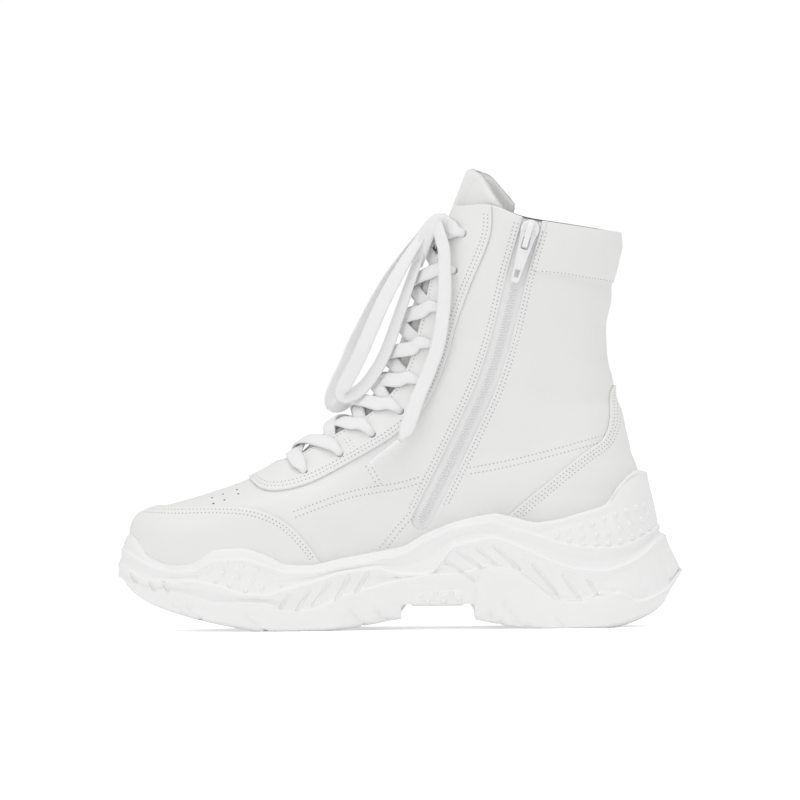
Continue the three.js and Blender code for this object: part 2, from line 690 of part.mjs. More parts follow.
// Ribs pressed into the side wall: top end and bottom end, as shares of the length and of the heel
// platform
const ribs = [
  { top: [0.303, 0.43], bottom: [0.289, 0.27] },
  { top: [0.34, 0.49], bottom: [0.317, 0.24] },
  { top: [0.375, 0.57], bottom: [0.345, 0.3] },
  { top: [0.409, 0.63], bottom: [0.38, 0.38] },
  { top: [0.442, 0.68], bottom: [0.416, 0.47] },
  { top: [0.581, 0.76], bottom: [0.628, 0.56] },
  { top: [0.602, 0.88], bottom: [0.646, 0.68] },
  { top: [0.635, 0.91], bottom: [0.672, 0.72] },
  { top: [0.667, 0.93], bottom: [0.708, 0.66] },
  { top: [0.735, 0.72], bottom: [0.775, 0.38] },
  { top: [0.788, 0.59], bottom: [0.815, 0.34] },
  { top: [0.83, 0.54], bottom: [0.846, 0.4] },
];
const ribWidth = 1.5;
function ribCutters() {
  return ribs.flatMap(({ top, bottom }) =>
    [-1, 1].map((side) => {
      const from = wallBreadth((top[0] + bottom[0]) / 2, side) - ribDepth;
      const spanY = side < 0 ? [-farY, -from] : [from, farY];
      return sidePrism(slotOutline(top, bottom, ribWidth), ...spanY);
    }),
  );
}

// Grooves across the tread: place along the length, slant and width
const treadGrooves = [
  { at: 0.105, slant: 0.02, width: 3 },
  { at: 0.13, slant: 0.02, width: 4 }, { at: 0.18, slant: 0.02, width: 4 },
  { at: 0.245, slant: 0.02, width: 5 },
  { at: 0.3, slant: 0.01, width: 4 }, { at: 0.36, slant: 0.01, width: 4 },
  { at: 0.42, slant: 0.02, width: 4 }, { at: 0.46, slant: 0.02, width: 4 },
  { at: 0.665, slant: 0.015, width: 3 },
  { at: 0.7, slant: 0.03, width: 5 },
  { at: 0.785, slant: 0.02, width: 4 }, { at: 0.85, slant: 0.02, width: 4 },
  { at: 0.915, slant: 0.01, width: 4 },
];
function treadCutters() {
  return treadGrooves.map(({ at, slant, width }) => {
    const x = xAt(at);
    const floor = treadHeight(at);
    const lean = slant * shoeLength;
    const outline = [
      [x - width / 2, floor - 8],
      [x + width / 2, floor - 8],
      [x + width / 2 - lean / 4, floor + treadDepth],
      [x - width / 2 - lean / 4, floor + treadDepth],
    ];
    return sidePrism(outline, -farY, farY);
  });
}

// Sole pieces
const forefootEnd = 0.501;
const heelStart = 0.63;
const archUnderside = 0.285; // height of the arch's underside, as a share of the heel platform
const soleForm = stackedRings(soleWall.map(soleRing));
const archNotch = sidePrism(
  [
    [xAt(forefootEnd), below],
    [xAt(heelStart), below],
    [xAt(heelStart), archUnderside * heelPlatform],
    [xAt(forefootEnd), archUnderside * heelPlatform],
  ],
  -farY,
  farY,
);
const podLength = 32;
const podHeight = 11;
function archPod() {
  const middle = xAt((forefootEnd + heelStart) / 2);
  const centre = archUnderside * heelPlatform + podHeight / 2 - 0.5;
  const outline = range(16).map((i) => {
    const turn = (2 * Math.PI * i) / 16;
    const squarer = (value) => Math.sign(value) * Math.abs(value) ** 0.6;
    const ahead = (squarer(Math.cos(turn)) * podLength) / 2;
    const upward = (squarer(Math.sin(turn)) * podHeight) / 2;
    return [middle + ahead, centre + upward];
  });
  const at = (forefootEnd + heelStart) / 2;
  return sidePrism(outline, -wallBreadth(at, -1) - 0.6, wallBreadth(at, 1) + 0.6);
}
const panelRoom = filledLast(overlayOuter + fit);
const toeCapRoom = panelRoom.intersect(toeCapRegion.translate([fit, 0, 0]));
const counterRoom = panelRoom.intersect(counterRegion.translate([-fit, 0, 0]));
const midsole = cutBy(
  cutBy(soleForm, [underSplit(-0.05, forefootEnd, 0, 0), underSplit(heelStart, 1.05, 0, 0), archNotch])
    .add(archPod()),
  [filledLast(fit), toeCapRoom, counterRoom, ...ribCutters()],
);
const aboveGround = boxBetween([2 * toeX, -farY, 0], [-2 * toeX, farY, highZ]);
const tread = cutBy(soleForm.intersect(aboveGround), treadCutters());
const outsoleForefoot = tread.intersect(underSplit(-0.05, forefootEnd, -fit, fit));
const outsoleHeel = tread.intersect(underSplit(heelStart, 1.05, -fit, fit));

// Zip: tape and closed coil as one band in a slot of the upper's medial side
const zipChain = lastShell(-zipSunk, -zipSunk - zipTape).intersect(zipFill);

// The slider's own frame: where it sits on the chain, the way out of the surface, and the way down
// the zip
const sliderLevel = 0.955;
const zipLine = curveThrough(zipCentre.map(([, z]) => z).reverse(), zipCentre.map(([x]) => x).reverse());
const sliderAround = halved(0.1, 0.4, (around) => {
  const place = lastPoint(around, sliderLevel);
  return place.x > zipLine(place.z);
});
const sliderPlace = lastPoint(sliderAround, sliderLevel);
const sliderOut = lastNormal(sliderAround, sliderLevel);
const zipSlope = (zipLine(sliderPlace.z) - zipLine(sliderPlace.z - 10)) / 10;
const zipDown = new THREE.Vector3(-zipSlope, 0, -1);
zipDown.addScaledVector(sliderOut, -zipDown.dot(sliderOut)).normalize();
const zipAcross = new THREE.Vector3().crossVectors(zipDown, sliderOut).normalize();
const sliderFrame = new THREE.Matrix4().makeBasis(zipAcross, zipDown, sliderOut).setPosition(sliderPlace);

// Pieces of the slider, in its own frame: x across the zip, y down it, z out of the surface
const sliderWidth = zipWidth - 1;
const sliderLength = 12;
const sliderPlate = 1.4;
const sliderCorner = 3;
const bridgeHeight = 4.2;
const bridgeWidth = 2.6;
const bridgeHalf = 4.4; // half its length
const beam = 1.1;
const pullLength = 27;
const pullWidth = 6.4;
const pullThickness = 1.4;
const pullCorner = 1.4;
const pivotRadius = 0.9;
const pivotPlay = 0.45; // between the bridge and the window of the pull that goes round it
const pullWindow = 7; // the window's length
const pullSlot = { width: 3.2, length: 4, fromEnd: 3.5 };
function roundedPlate(width, length, thickness, corner) {
  const [w, l] = [width / 2, length / 2];
  const shape = new THREE.Shape();
  shape.moveTo(-w + corner, -l);
  shape.lineTo(w - corner, -l);
  shape.absarc(w - corner, -l + corner, corner, -Math.PI / 2, 0);
  shape.lineTo(w, l - corner);
  shape.absarc(w - corner, l - corner, corner, 0, Math.PI / 2);
  shape.lineTo(-w + corner, l);
  shape.absarc(-w + corner, l - corner, corner, Math.PI / 2, Math.PI);
  shape.lineTo(-w, -l + corner);
  shape.absarc(-w + corner, -l + corner, corner, Math.PI, 1.5 * Math.PI);
  const options = { depth: thickness, bevelEnabled: false, curveSegments: 3 };
  return solidOf(new THREE.ExtrudeGeometry(shape, options));
}
function boxBetween([x0, y0, z0], [x1, y1, z1]) {
  const box = new THREE.BoxGeometry(x1 - x0, y1 - y0, z1 - z0);
  box.translate((x0 + x1) / 2, (y0 + y1) / 2, (z0 + z1) / 2);
  return solidOf(box);
}
const plateFloor = fit - zipSunk;
const bridgeFoot = plateFloor + sliderPlate;
const pivotHeight = bridgeFoot + (bridgeHeight - beam) / 2;
const pivotY = beam - bridgeHalf + 2 * pivotRadius;
function sliderSolid() {
  const blank = roundedPlate(sliderWidth, sliderLength, sliderPlate, sliderCorner);
  const plate = blank.translate([0, 0, plateFloor]);
  const top = bridgeFoot + bridgeHeight;
  const foot = bridgeFoot - sliderPlate / 2;
  const bridge = joined([
    boxBetween([-bridgeWidth / 2, -bridgeHalf, foot], [bridgeWidth / 2, -bridgeHalf + beam, top]),
    boxBetween([-bridgeWidth / 2, bridgeHalf - beam, foot], [bridgeWidth / 2, bridgeHalf, top]),
    boxBetween([-bridgeWidth / 2, -bridgeHalf, top - beam], [bridgeWidth / 2, bridgeHalf, top]),
  ]);
  return plate.add(bridge);
}
function pullSolid() {
  const slab = roundedPlate(pullWidth, pullLength, pullThickness, pullCorner)
    .translate([0, pullLength / 2 + pivotY - pivotRadius, pivotHeight - pullThickness / 2]);
  const [under, over] = [pivotHeight - pullThickness, pivotHeight + pullThickness];
  const windowHalf = bridgeWidth / 2 + pivotPlay;
  const windowTop = pivotY + pivotRadius;
  const slotBottom = pivotY - pivotRadius + pullLength - pullSlot.fromEnd;
  return cutBy(slab, [
    boxBetween([-windowHalf, windowTop, under], [windowHalf, windowTop + pullWindow, over]),
    boxBetween(
      [-pullSlot.width / 2, slotBottom - pullSlot.length, under],
      [pullSlot.width / 2, slotBottom, over],
    ),
  ]);
}

// Lace crossings: bars over tongue and facings, from one eyelet to the next one across
const laceOffset = overlayOuter + fit + laceThickness / 2 + 1.2;
function laceBar(fromLevel, toLevel, side) {
  const steps = 5;
  const stations = range(steps + 1).map((i) => {
    const level = lerp(fromLevel, toLevel, i / steps);
    return surfaceStation(level, side * (1 - (2 * i) / steps) * (eyeletAside(level) - 1), laceOffset, 0);
  });
  return flatBar(stations.map((s) => s.point), stations.map((s) => s.facing), laceWidth, laceThickness, 4);
}

// A place above the surface, with the way that a lace's flat side faces there: lean turns it from
// the surface's own normal towards the shoe's side
function surfaceStation(ridgeLevel, aside, offset, lean) {
  const { around, level } = placeBeside(ridgeLevel, aside);
  const normal = lastNormal(around, level);
  const side = new THREE.Vector3(0, lean < 0 ? 1 : -1, 0);
  return {
    point: lastPoint(around, level).addScaledVector(normal, offset),
    facing: normal.lerp(side, Math.abs(lean)).normalize(),
  };
}
const laceCrossings = joined([
  laceBar(eyeletLevels[0], eyeletLevels[0], 1),
  ...range(eyeletLevels.length - 1).flatMap((i) =>
    [1, -1].map((side) => laceBar(eyeletLevels[i], eyeletLevels[i + 1], side)),
  ),
]);

// Bow. A route's rows: level on the ridge, distance aside of it, height off the surface, and lean.
const bowRoutes = {
  lace_loop_medial: [
    [0.944, 4.7, 7, 0.1], [0.88, 7.5, 7.6, 0.25],
    [0.83, 9, 7.8, 0.3], [0.78, 9, 8, 0.35], [0.73, 9, 8.4, 0.4],
    [0.69, 9, 8.8, 0.45], [0.65, 9, 9.4, 0.5], [0.62, 9, 11.2, 0.6],
    [0.605, 9, 14.2, 0.65], [0.61, 9, 17.9, 0.7],
    [0.635, 9, 21.4, 0.75], [0.67, 9, 23.4, 0.8],
    [0.71, 9, 24.4, 0.8], [0.755, 9, 23.9, 0.75], [0.8, 9, 21.9, 0.7],
    [0.85, 8.5, 18.4, 0.6], [0.895, 7.5, 14.4, 0.4], [0.925, 6.8, 11.6, 0.3], [0.956, 5.2, 9.8, 0],
  ],
  lace_loop_lateral: [
    [0.944, -4.7, 7, -0.1], [0.88, -7.5, 7.6, -0.25], [0.83, -9, 7.8, -0.3], [0.78, -9, 8, -0.35],
    [0.73, -9, 8.4, -0.4], [0.69, -9, 8.8, -0.45], [0.65, -9, 9.2, -0.5], [0.61, -9, 9.8, -0.5],
    [0.583, -9, 11.8, -0.6], [0.575, -9, 15.9, -0.7], [0.59, -9, 20.9, -0.75], [0.62, -9, 25.4, -0.8],
    [0.66, -9, 28.4, -0.8], [0.705, -9, 29.4, -0.8],
    [0.75, -9, 28.4, -0.8], [0.8, -9, 25.4, -0.7], [0.85, -8.5, 20.9, -0.6],
    [0.895, -7.5, 15.9, -0.4], [0.925, -6.8, 12, -0.3], [0.956, -5.2, 9.8, 0],
  ],
  lace_end_medial: [
    [0.962, 8.8, 6.8, 0], [0.946, 13.5, 7.1, 0],
    [0.928, 17.5, 6.9, 0], [0.9, 21, 6.7, 0], [0.867, 23.8, 6.6, 0],
    [0.81, 25.6, 6.5, 0], [0.759, 26.8, 6.5, 0],
    [0.715, 28.5, 6.5, 0], [0.674, 30.1, 6.5, 0], [0.648, 30.8, 6.5, 0],
    [0.627, 31.2, 6.5, 0],
  ],
  lace_end_lateral: [
    [0.962, -8.8, 6.8, 0], [0.946, -13.5, 7.1, 0],
    [0.928, -17.5, 6.9, 0], [0.9, -21.5, 6.7, 0], [0.867, -24.8, 6.6, 0],
    [0.81, -27, 6.5, 0], [0.759, -28.6, 6.5, 0], [0.715, -30.4, 6.5, 0],
    [0.68, -31.8, 6.5, 0], [0.655, -32.6, 6.5, 0],
    [0.635, -33.2, 6.5, 0],
  ],
};
const agletRadius = 1.5;
const agletEnds = {
  aglet_medial: [0.625, 31.24, 0.577, 32.6],
  aglet_lateral: [0.633, -33.25, 0.585, -34.6],
};
const agletOffset = 6.5;
function cordSolid(route) {
  const stations = route.map((row) => surfaceStation(...row));
  const steps = 2 * route.length;
  const path = new THREE.CatmullRomCurve3(stations.map((s) => s.point), false, 'centripetal');
  const turned = new THREE.CatmullRomCurve3(stations.map((s) => s.facing), false, 'centripetal');
  return flatBar(
    range(steps + 1).map((i) => path.getPoint(i / steps)),
    range(steps + 1).map((i) => turned.getPoint(i / steps)),
    laceWidth,
    laceThickness,
    6,
  );
}
function agletSolid([fromLevel, fromAside, toLevel, toAside]) {
  const start = besideRidge(fromLevel, fromAside, agletOffset);
  const end = besideRidge(toLevel, toAside, agletOffset);
  const rod = new THREE.CylinderGeometry(agletRadius, agletRadius, start.distanceTo(end), 8);
  const along = end.clone().sub(start).normalize();
  rod.applyQuaternion(new THREE.Quaternion().setFromUnitVectors(new THREE.Vector3(0, 1, 0), along));
  rod.translate(...start.add(end).multiplyScalar(0.5).toArray());
  return solidOf(rod);
}
const knotLevel = 0.968;
const knotOut = 4.7; // half its thickness off the tongue
const knotAcross = 8;
const knotUp = 5;
function knotSolid() {
  const ball = new THREE.SphereGeometry(1, 12, 8);
  ball.scale(knotOut, knotAcross, knotUp);
  const out = lastNormal(0, knotLevel);
  const across = new THREE.Vector3(0, 1, 0);
  const upward = new THREE.Vector3().crossVectors(out, across);
  ball.applyMatrix4(new THREE.Matrix4().makeBasis(out, across, upward));
  const centre = lastPoint(0, knotLevel).addScaledVector(out, knotOut - tongueSunk + 2 * fit);
  ball.translate(...centre.toArray());
  return solidOf(ball);
}

// Colours and finishes
const finish = (color, roughness) => new THREE.MeshStandardMaterial({ color, roughness, metalness: 0 });
const leather = finish(0xf1f1ef, 0.5);
const rubber = finish(0xf3f3f2, 0.6);
const fabric = finish(0xf0f0f2, 0.9);
const plastic = finish(0xf6f6f8, 0.35);

const sneaker = new THREE.Group();
function place(name, solid, material, parent = sneaker) {
  const mesh = new THREE.Mesh(geometryOf(solid), material);
  mesh.name = name;
  parent.add(mesh);
}
place('outsole_forefoot', outsoleForefoot, rubber);
place('outsole_heel', outsoleHeel, rubber);
place('midsole', midsole, rubber);
place('insole', insole, fabric);
place('upper', upper, leather);
place('toe_cap', toeCap, leather);
place('heel_counter', heelCounter, leather);
place('eyestay', eyestay, leather);
place('collar', collar, leather);
place('tongue', tongue, leather);
place('zip_chain', zipChain, plastic);
place('lace_crossings', laceCrossings, fabric);
place('lace_knot', knotSolid(), fabric);
Object.entries(bowRoutes).forEach(([name, route]) => place(name, cordSolid(route), fabric));
Object.entries(agletEnds).forEach(([name, ends]) => place(name, agletSolid(ends), plastic));

const slider = new THREE.Group();
slider.applyMatrix4(sliderFrame);
place('zip_slider', sliderSolid(), plastic, slider);
place('zip_pull', pullSolid(), plastic, slider);
sneaker.add(slider);

// The sole is the widest and longest piece, so its middle becomes the origin
const footprint = new THREE.Box3();
['midsole', 'outsole_forefoot', 'outsole_heel'].forEach((name) =>
  footprint.expandByObject(sneaker.getObjectByName(name)),
);
const middle = footprint.getCenter(new THREE.Vector3());
sneaker.position.set(-middle.x, -middle.y, 0);

export default sneaker;
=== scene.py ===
# %% [markdown]
# # A high platform sneaker in white leather
# The shoe is a right one, seen from its inner side, where the zip is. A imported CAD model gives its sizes
# and the places of its pieces. This lesson dresses that model: moulded rubber below, sewn leather above,
# and woven laces. Everything is in metres, the toe points to -X and the inner side is -Y.

# %% Load the fixed frame
import math
import random

import bpy
import numpy as np
from mathutils import Matrix, Vector


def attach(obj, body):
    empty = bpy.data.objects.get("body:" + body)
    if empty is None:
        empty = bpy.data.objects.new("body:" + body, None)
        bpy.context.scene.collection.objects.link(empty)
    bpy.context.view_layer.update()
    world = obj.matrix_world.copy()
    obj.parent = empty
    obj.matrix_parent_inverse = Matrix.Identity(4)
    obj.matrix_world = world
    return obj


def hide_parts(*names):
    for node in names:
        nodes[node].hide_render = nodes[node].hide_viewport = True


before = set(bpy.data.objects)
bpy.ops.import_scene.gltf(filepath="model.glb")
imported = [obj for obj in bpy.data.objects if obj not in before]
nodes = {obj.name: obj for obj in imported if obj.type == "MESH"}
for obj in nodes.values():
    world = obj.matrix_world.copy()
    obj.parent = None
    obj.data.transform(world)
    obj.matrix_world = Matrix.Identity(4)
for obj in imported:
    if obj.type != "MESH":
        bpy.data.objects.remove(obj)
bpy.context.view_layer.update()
bpy.ops.object.select_all(action="DESELECT")
random.seed(7)
print("CAD nodes:", sorted(nodes))

# %% [markdown]
# ## The camera
# A shoe's catalogue picture is taken from far off with a long lens, so its side is almost flat to the
# picture. Here 800 pixels take in 425 mm, seen from twelve metres away and almost level. The camera is
# rolled by half a degree, because the shoe stands a little askew in its picture.

# %% Camera
PIXEL = 0.531e-3  # one pixel of the picture at the shoe
VIEW_WIDTH = 800 * PIXEL
CAMERA_AWAY = 12.0
CAMERA_UP = math.radians(0.8)
CAMERA_ROLL = math.radians(-0.59)
AIM = Vector((0.0008, 0.0, 0.1211))
SENSOR = 36
camera_data = bpy.data.cameras.new("camera")
camera_data.sensor_width = SENSOR
camera_data.lens = SENSOR * CAMERA_AWAY / VIEW_WIDTH
camera_data.clip_end = 60
camera = bpy.data.objects.new("camera", camera_data)
bpy.context.scene.collection.objects.link(camera)
away = Vector((0, -math.cos(CAMERA_UP), math.sin(CAMERA_UP)))
camera.location = AIM + away * CAMERA_AWAY
level_view = (-away).to_track_quat("-Z", "Y").to_matrix()
camera.rotation_euler = (level_view @ Matrix.Rotation(CAMERA_ROLL, 3, "Z")).to_euler()
bpy.context.scene.camera = camera
print("lens", round(camera_data.lens, 1), "mm")

# %% [markdown]
# ## The last
# A shoe is built round a last, and every panel, seam and lace is laid out on its surface. The CAD model's
# last is a function: how far round, how far up, and how far off the surface. The same function is written
# here once more for whole arrays of points, so that new pieces lie exactly where the CAD pieces do.

# %% Sizes, in millimetres as in the CAD source
SHOE_LENGTH, BALL_WIDTH, ANKLE_WIDTH, SHAFT_HEIGHT = 300.0, 90.0, 66.0, 162.0
SOLE_WIDTH = BALL_WIDTH + 17.0
BALL_PLATFORM, HEEL_PLATFORM, TOE_LIFT, CUP_HEIGHT = 27.0, 47.0, 6.0, 30.0
TOE_X = -SHOE_LENGTH / 2
THROAT_HALF, EYELET_HALF = 20.0, 28.0
SHIFT = np.array([0.18, -2.011, 0.0])  # the middle of the sole is the CAD model's origin
MM = 0.001


def lerp(a, b, t):
    return a + (b - a) * t


def smooth(t):
    t = np.clip(t, 0, 1)
    return t * t * (3 - 2 * t)


def curve_through(keys, values):
    """A smooth curve through a table that never overshoots, carried on straight past its ends."""
    keys, values = np.array(keys, float), np.array(values, float)
    slopes = np.diff(values) / np.diff(keys)
    product = slopes[:-1] * slopes[1:]
    total = np.where(product > 0, slopes[:-1] + slopes[1:], 1)
    inner = np.where(product > 0, 2 * product / total, 0)
    tangents = np.concatenate([slopes[:1], inner, slopes[-1:]])

    def at(x):
        x = np.asarray(x, float)
        i = np.clip(np.searchsorted(keys, x, side="right") - 1, 0, len(slopes) - 1)
        span = keys[i + 1] - keys[i]
        t = np.clip((x - keys[i]) / span, 0, 1)
        inside = (
            values[i] * (1 + 2 * t) * (1 - t) ** 2
            + tangents[i] * span * t * (1 - t) ** 2
            + values[i + 1] * t * t * (3 - 2 * t)
            + tangents[i + 1] * span * t * t * (t - 1)
        )
        before = tangents[0] * np.minimum(x - keys[0], 0)
        return inside + before + tangents[-1] * np.maximum(x - keys[-1], 0)

    return at


def curves_of(rows):
    """One smooth curve for each column of a table after its first."""
    keys, *columns = zip(*rows)
    return [curve_through(keys, column) for column in columns]


def bed_height(at):
    rise = (HEEL_PLATFORM - BALL_PLATFORM) * smooth((at - 0.32) / 0.42)
    return BALL_PLATFORM + rise + TOE_LIFT * (np.maximum(0.3 - at, 0) / 0.3) ** 2


def x_at(at):
    return TOE_X + at * SHOE_LENGTH


def at_x(x):
    return (x - TOE_X) / SHOE_LENGTH


# %% The rings of the last, from the feather edge up to the collar
FRONT_AT, FRONT_UP, BACK_AT, BACK_UP, OVAL, FRONT_FULL, BACK_FULL, CROWN = curves_of([
    (0, 0.031, 0.0, 0.908, 0.0, 0, 0.95, 0.94, 0),
    (0.06, 0.025, 0.073, 0.92, 0.071, 0, 0.99, 0.99, 0),
    (0.12, 0.026, 0.132, 0.924, 0.134, 0, 1.0, 1.01, 0),
    (0.18, 0.037, 0.18, 0.922, 0.186, 0, 0.98, 1.01, 0),
    (0.24, 0.062, 0.209, 0.915, 0.232, 0.02, 0.93, 1.0, 0),
    (0.3, 0.112, 0.243, 0.906, 0.275, 0.08, 0.87, 0.99, 0),
    (0.36, 0.173, 0.283, 0.901, 0.318, 0.18, 0.82, 0.97, 0),
    (0.42, 0.235, 0.329, 0.894, 0.37, 0.32, 0.8, 0.96, 0),
    (0.48, 0.297, 0.392, 0.887, 0.429, 0.48, 0.82, 0.96, 0),
    (0.54, 0.359, 0.462, 0.878, 0.495, 0.64, 0.86, 0.97, 0),
    (0.6, 0.416, 0.52, 0.872, 0.554, 0.78, 0.91, 0.98, 0),
    (0.66, 0.462, 0.588, 0.869, 0.62, 0.9, 0.95, 1.0, 0),
    (0.72, 0.49, 0.668, 0.868, 0.692, 0.97, 0.97, 1.0, 0),
    (0.78, 0.512, 0.769, 0.873, 0.767, 1, 0.99, 1.01, 0),
    (0.85, 0.536, 0.878, 0.88, 0.842, 1, 1.0, 1.03, 0),
    (0.91, 0.563, 0.981, 0.888, 0.908, 1, 1.02, 1.06, 0.004),
    (0.96, 0.584, 1.064, 0.894, 0.957, 1, 1.03, 1.08, 0.012),
    (1, 0.598, 1.122, 0.895, 1.0, 1, 1.04, 1.09, 0.026),
])
FOOT_MEDIAL, FOOT_LATERAL = curves_of([
    (0, 0.55, 0.52), (0.15, 0.555, 0.53), (0.3, 0.515, 0.54), (0.45, 0.42, 0.52),
    (0.6, 0.375, 0.47), (0.75, 0.415, 0.465), (0.9, 0.56, 0.58), (1, 0.62, 0.63),
])


def rounded_ends(angle, along):
    sine = np.sin(angle)
    return np.sign(sine) * np.abs(sine) ** lerp(0.8, 1, smooth(along / 0.4))


def toe_turn(along):
    """How far the toe turns to the medial side, at shares of the way from toe to heel."""
    return -0.055 * BALL_WIDTH * np.clip(1 - along / 0.45, 0, 1) ** 2


def last_point(around, level):
    """A point of the last. around is 0 on the front ridge and runs round the medial side first."""
    around, level = np.broadcast_arrays(np.asarray(around, float), np.asarray(level, float))
    angle = 2 * math.pi * around
    along = (1 - np.cos(angle)) / 2
    front_at, back_at = FRONT_AT(level), BACK_AT(level)
    at = lerp(front_at, back_at, along)
    front_bed, back_bed = bed_height(front_at), bed_height(back_at)
    dip = bed_height(at) - lerp(front_bed, back_bed, along)
    crown = CROWN(level) * np.exp(-(((along - 0.22) / 0.14) ** 2))
    foot = BALL_WIDTH * np.where(np.sin(angle) > 0, FOOT_MEDIAL(along), FOOT_LATERAL(along))
    oval = np.clip(OVAL(level), 0, 1)
    full = lerp(FRONT_FULL(level), BACK_FULL(level), smooth(along))
    ends = lerp(rounded_ends(angle, along), np.sin(angle), oval)
    half = lerp(foot, ANKLE_WIDTH / 2, oval) * full * ends
    turn = toe_turn(along) * (1 - oval)
    front_z = front_bed + FRONT_UP(level) * SHAFT_HEIGHT
    back_z = back_bed + BACK_UP(level) * SHAFT_HEIGHT
    z = lerp(front_z, back_z, along) + dip * (1 - smooth(level / 0.5)) + crown * SHAFT_HEIGHT
    return np.stack([x_at(at), turn - half, z], -1)


def unit(v):
    return v / np.maximum(np.linalg.norm(v, axis=-1, keepdims=True), 1e-12)


def run_along(points):
    """The distance run up to each point of a line."""
    return np.concatenate([[0], np.cumsum(np.linalg.norm(np.diff(points, axis=0), axis=1))])


def last_normal(around, level):
    step = 0.004
    low = np.maximum(0, np.asarray(level, float) - step)
    along_ring = last_point(around + step, level) - last_point(around - step, level)
    upward = last_point(around, level + step) - last_point(around, low)
    return unit(np.cross(along_ring, upward))


def on_last(around, level, offset):
    around, level = np.asarray(around, float), np.asarray(level, float)
    return last_point(around, level) + last_normal(around, level) * np.asarray(offset, float)[..., None]


# %% Places beside the front ridge, where facings, tongue and laces are laid out
def ridge_tangent(level):
    level = np.asarray(level, float)
    step = last_point(0, level + 0.01) - last_point(0, level - 0.01)
    step[..., 1] = 0
    return unit(step)


def place_beside(ridge_level, aside):
    """The around and level of the place that lies aside millimetres from the ridge, medial positive."""
    ridge_level, aside = np.broadcast_arrays(np.asarray(ridge_level, float), np.asarray(aside, float))
    ridge, tangent, side = last_point(0, ridge_level), ridge_tangent(ridge_level), np.sign(aside)

    def around_at(level):
        low, high = np.zeros_like(aside), np.full_like(aside, 0.2)
        for _ in range(20):
            middle = (low + high) / 2
            far = np.abs(last_point(side * middle, level)[..., 1] - ridge[..., 1]) > np.abs(aside)
            low, high = np.where(far, low, middle), np.where(far, middle, high)
        return side * (low + high) / 2

    low, high = np.zeros_like(aside), np.full_like(aside, 1.4)
    for _ in range(20):
        middle = (low + high) / 2
        above = np.sum((last_point(around_at(middle), middle) - ridge) * tangent, -1) > 0
        low, high = np.where(above, low, middle), np.where(above, middle, high)
    level = (low + high) / 2
    return around_at(level), level


def place_in_side_view(x, z, side=1):
    """The around and level of the point that the side view shows at x, z. side is -1 for lateral."""
    x, z = np.asarray(x, float), np.asarray(z, float)
    around, level = np.full(x.shape, 0.25), np.full(x.shape, 0.5)
    step = 0.002
    for _ in range(60):  # Newton's method, damped so that no step leaves the last
        p = last_point(side * around, level)
        pa = (last_point(side * (around + step), level) - p) / step
        pl = (last_point(side * around, level + step) - p) / step
        gap_x, gap_z = x - p[..., 0], z - p[..., 2]
        det = pa[..., 0] * pl[..., 2] - pl[..., 0] * pa[..., 2]
        det = np.where(np.abs(det) < 1e-3, 1e-3, det)
        da = (gap_x * pl[..., 2] - gap_z * pl[..., 0]) / det
        dl = (gap_z * pa[..., 0] - gap_x * pa[..., 2]) / det
        around = np.clip(around + 0.7 * np.clip(da, -0.04, 0.04), 0.004, 0.496)
        level = np.clip(level + 0.7 * np.clip(dl, -0.05, 0.05), 0, 1.02)
    return side * around, level


MIDDLE_COLUMN, GROUND_ROW, LEVEL_COLUMN, ROLL = 399.5, 629, 280, 0.0103


def from_picture(pixels):
    """Millimetres in the side view for pixels of the picture, its half degree of roll taken out."""
    px, py = np.array(pixels, float).T
    k = PIXEL / MM
    return (px - MIDDLE_COLUMN) * k, (GROUND_ROW - ROLL * (px - LEVEL_COLUMN) - py) * k


def metres(points):
    return (np.asarray(points, float) + SHIFT) * MM


# %% Meshes from arrays
def mesh_object(name, vertices, faces, uv=None, smooth_shaded=True):
    """A new object at the origin from points in millimetres. uv holds one pair for every vertex."""
    mesh = bpy.data.meshes.new(name)
    mesh.from_pydata(metres(vertices).tolist(), [], [list(map(int, f)) for f in faces])
    mesh.update()
    if uv is not None:
        layer = mesh.uv_layers.new(name="UVMap")
        corner = np.zeros(len(mesh.loops), int)
        mesh.loops.foreach_get("vertex_index", corner)
        layer.data.foreach_set("uv", np.asarray(uv, np.float32)[corner].ravel())
    mesh.polygons.foreach_set("use_smooth", [smooth_shaded] * len(mesh.polygons))
    piece = bpy.data.objects.new(name, mesh)
    bpy.context.scene.collection.objects.link(piece)
    return piece


def grid_faces(rows, columns, closed=False):
    """Quads between the rows of a grid. A closed grid's last column joins its first."""
    j, i = np.meshgrid(np.arange(rows - 1), np.arange(columns if closed else columns - 1), indexing="ij")
    a, b = (j * columns + i).ravel(), (j * columns + (i + 1) % columns).ravel()
    return np.stack([a, b, b + columns, a + columns], -1)


print("collar's front corner:", np.round(last_point(0.16, 1.0), 1))

# %% [markdown]
# ## Laces
# A sneaker's lace is a flat woven tube, eight millimetres wide, so its section is a flattened oval and its
# surface is a fine herringbone. It is swept by hand along a smooth route, because each point also says
# which way the flat side faces. The bow hangs from the knot: two loops and two ends with plastic tips.

# %% A flat cord along a route
LACE_WIDTH, LACE_THICK = 8.0, 1.8


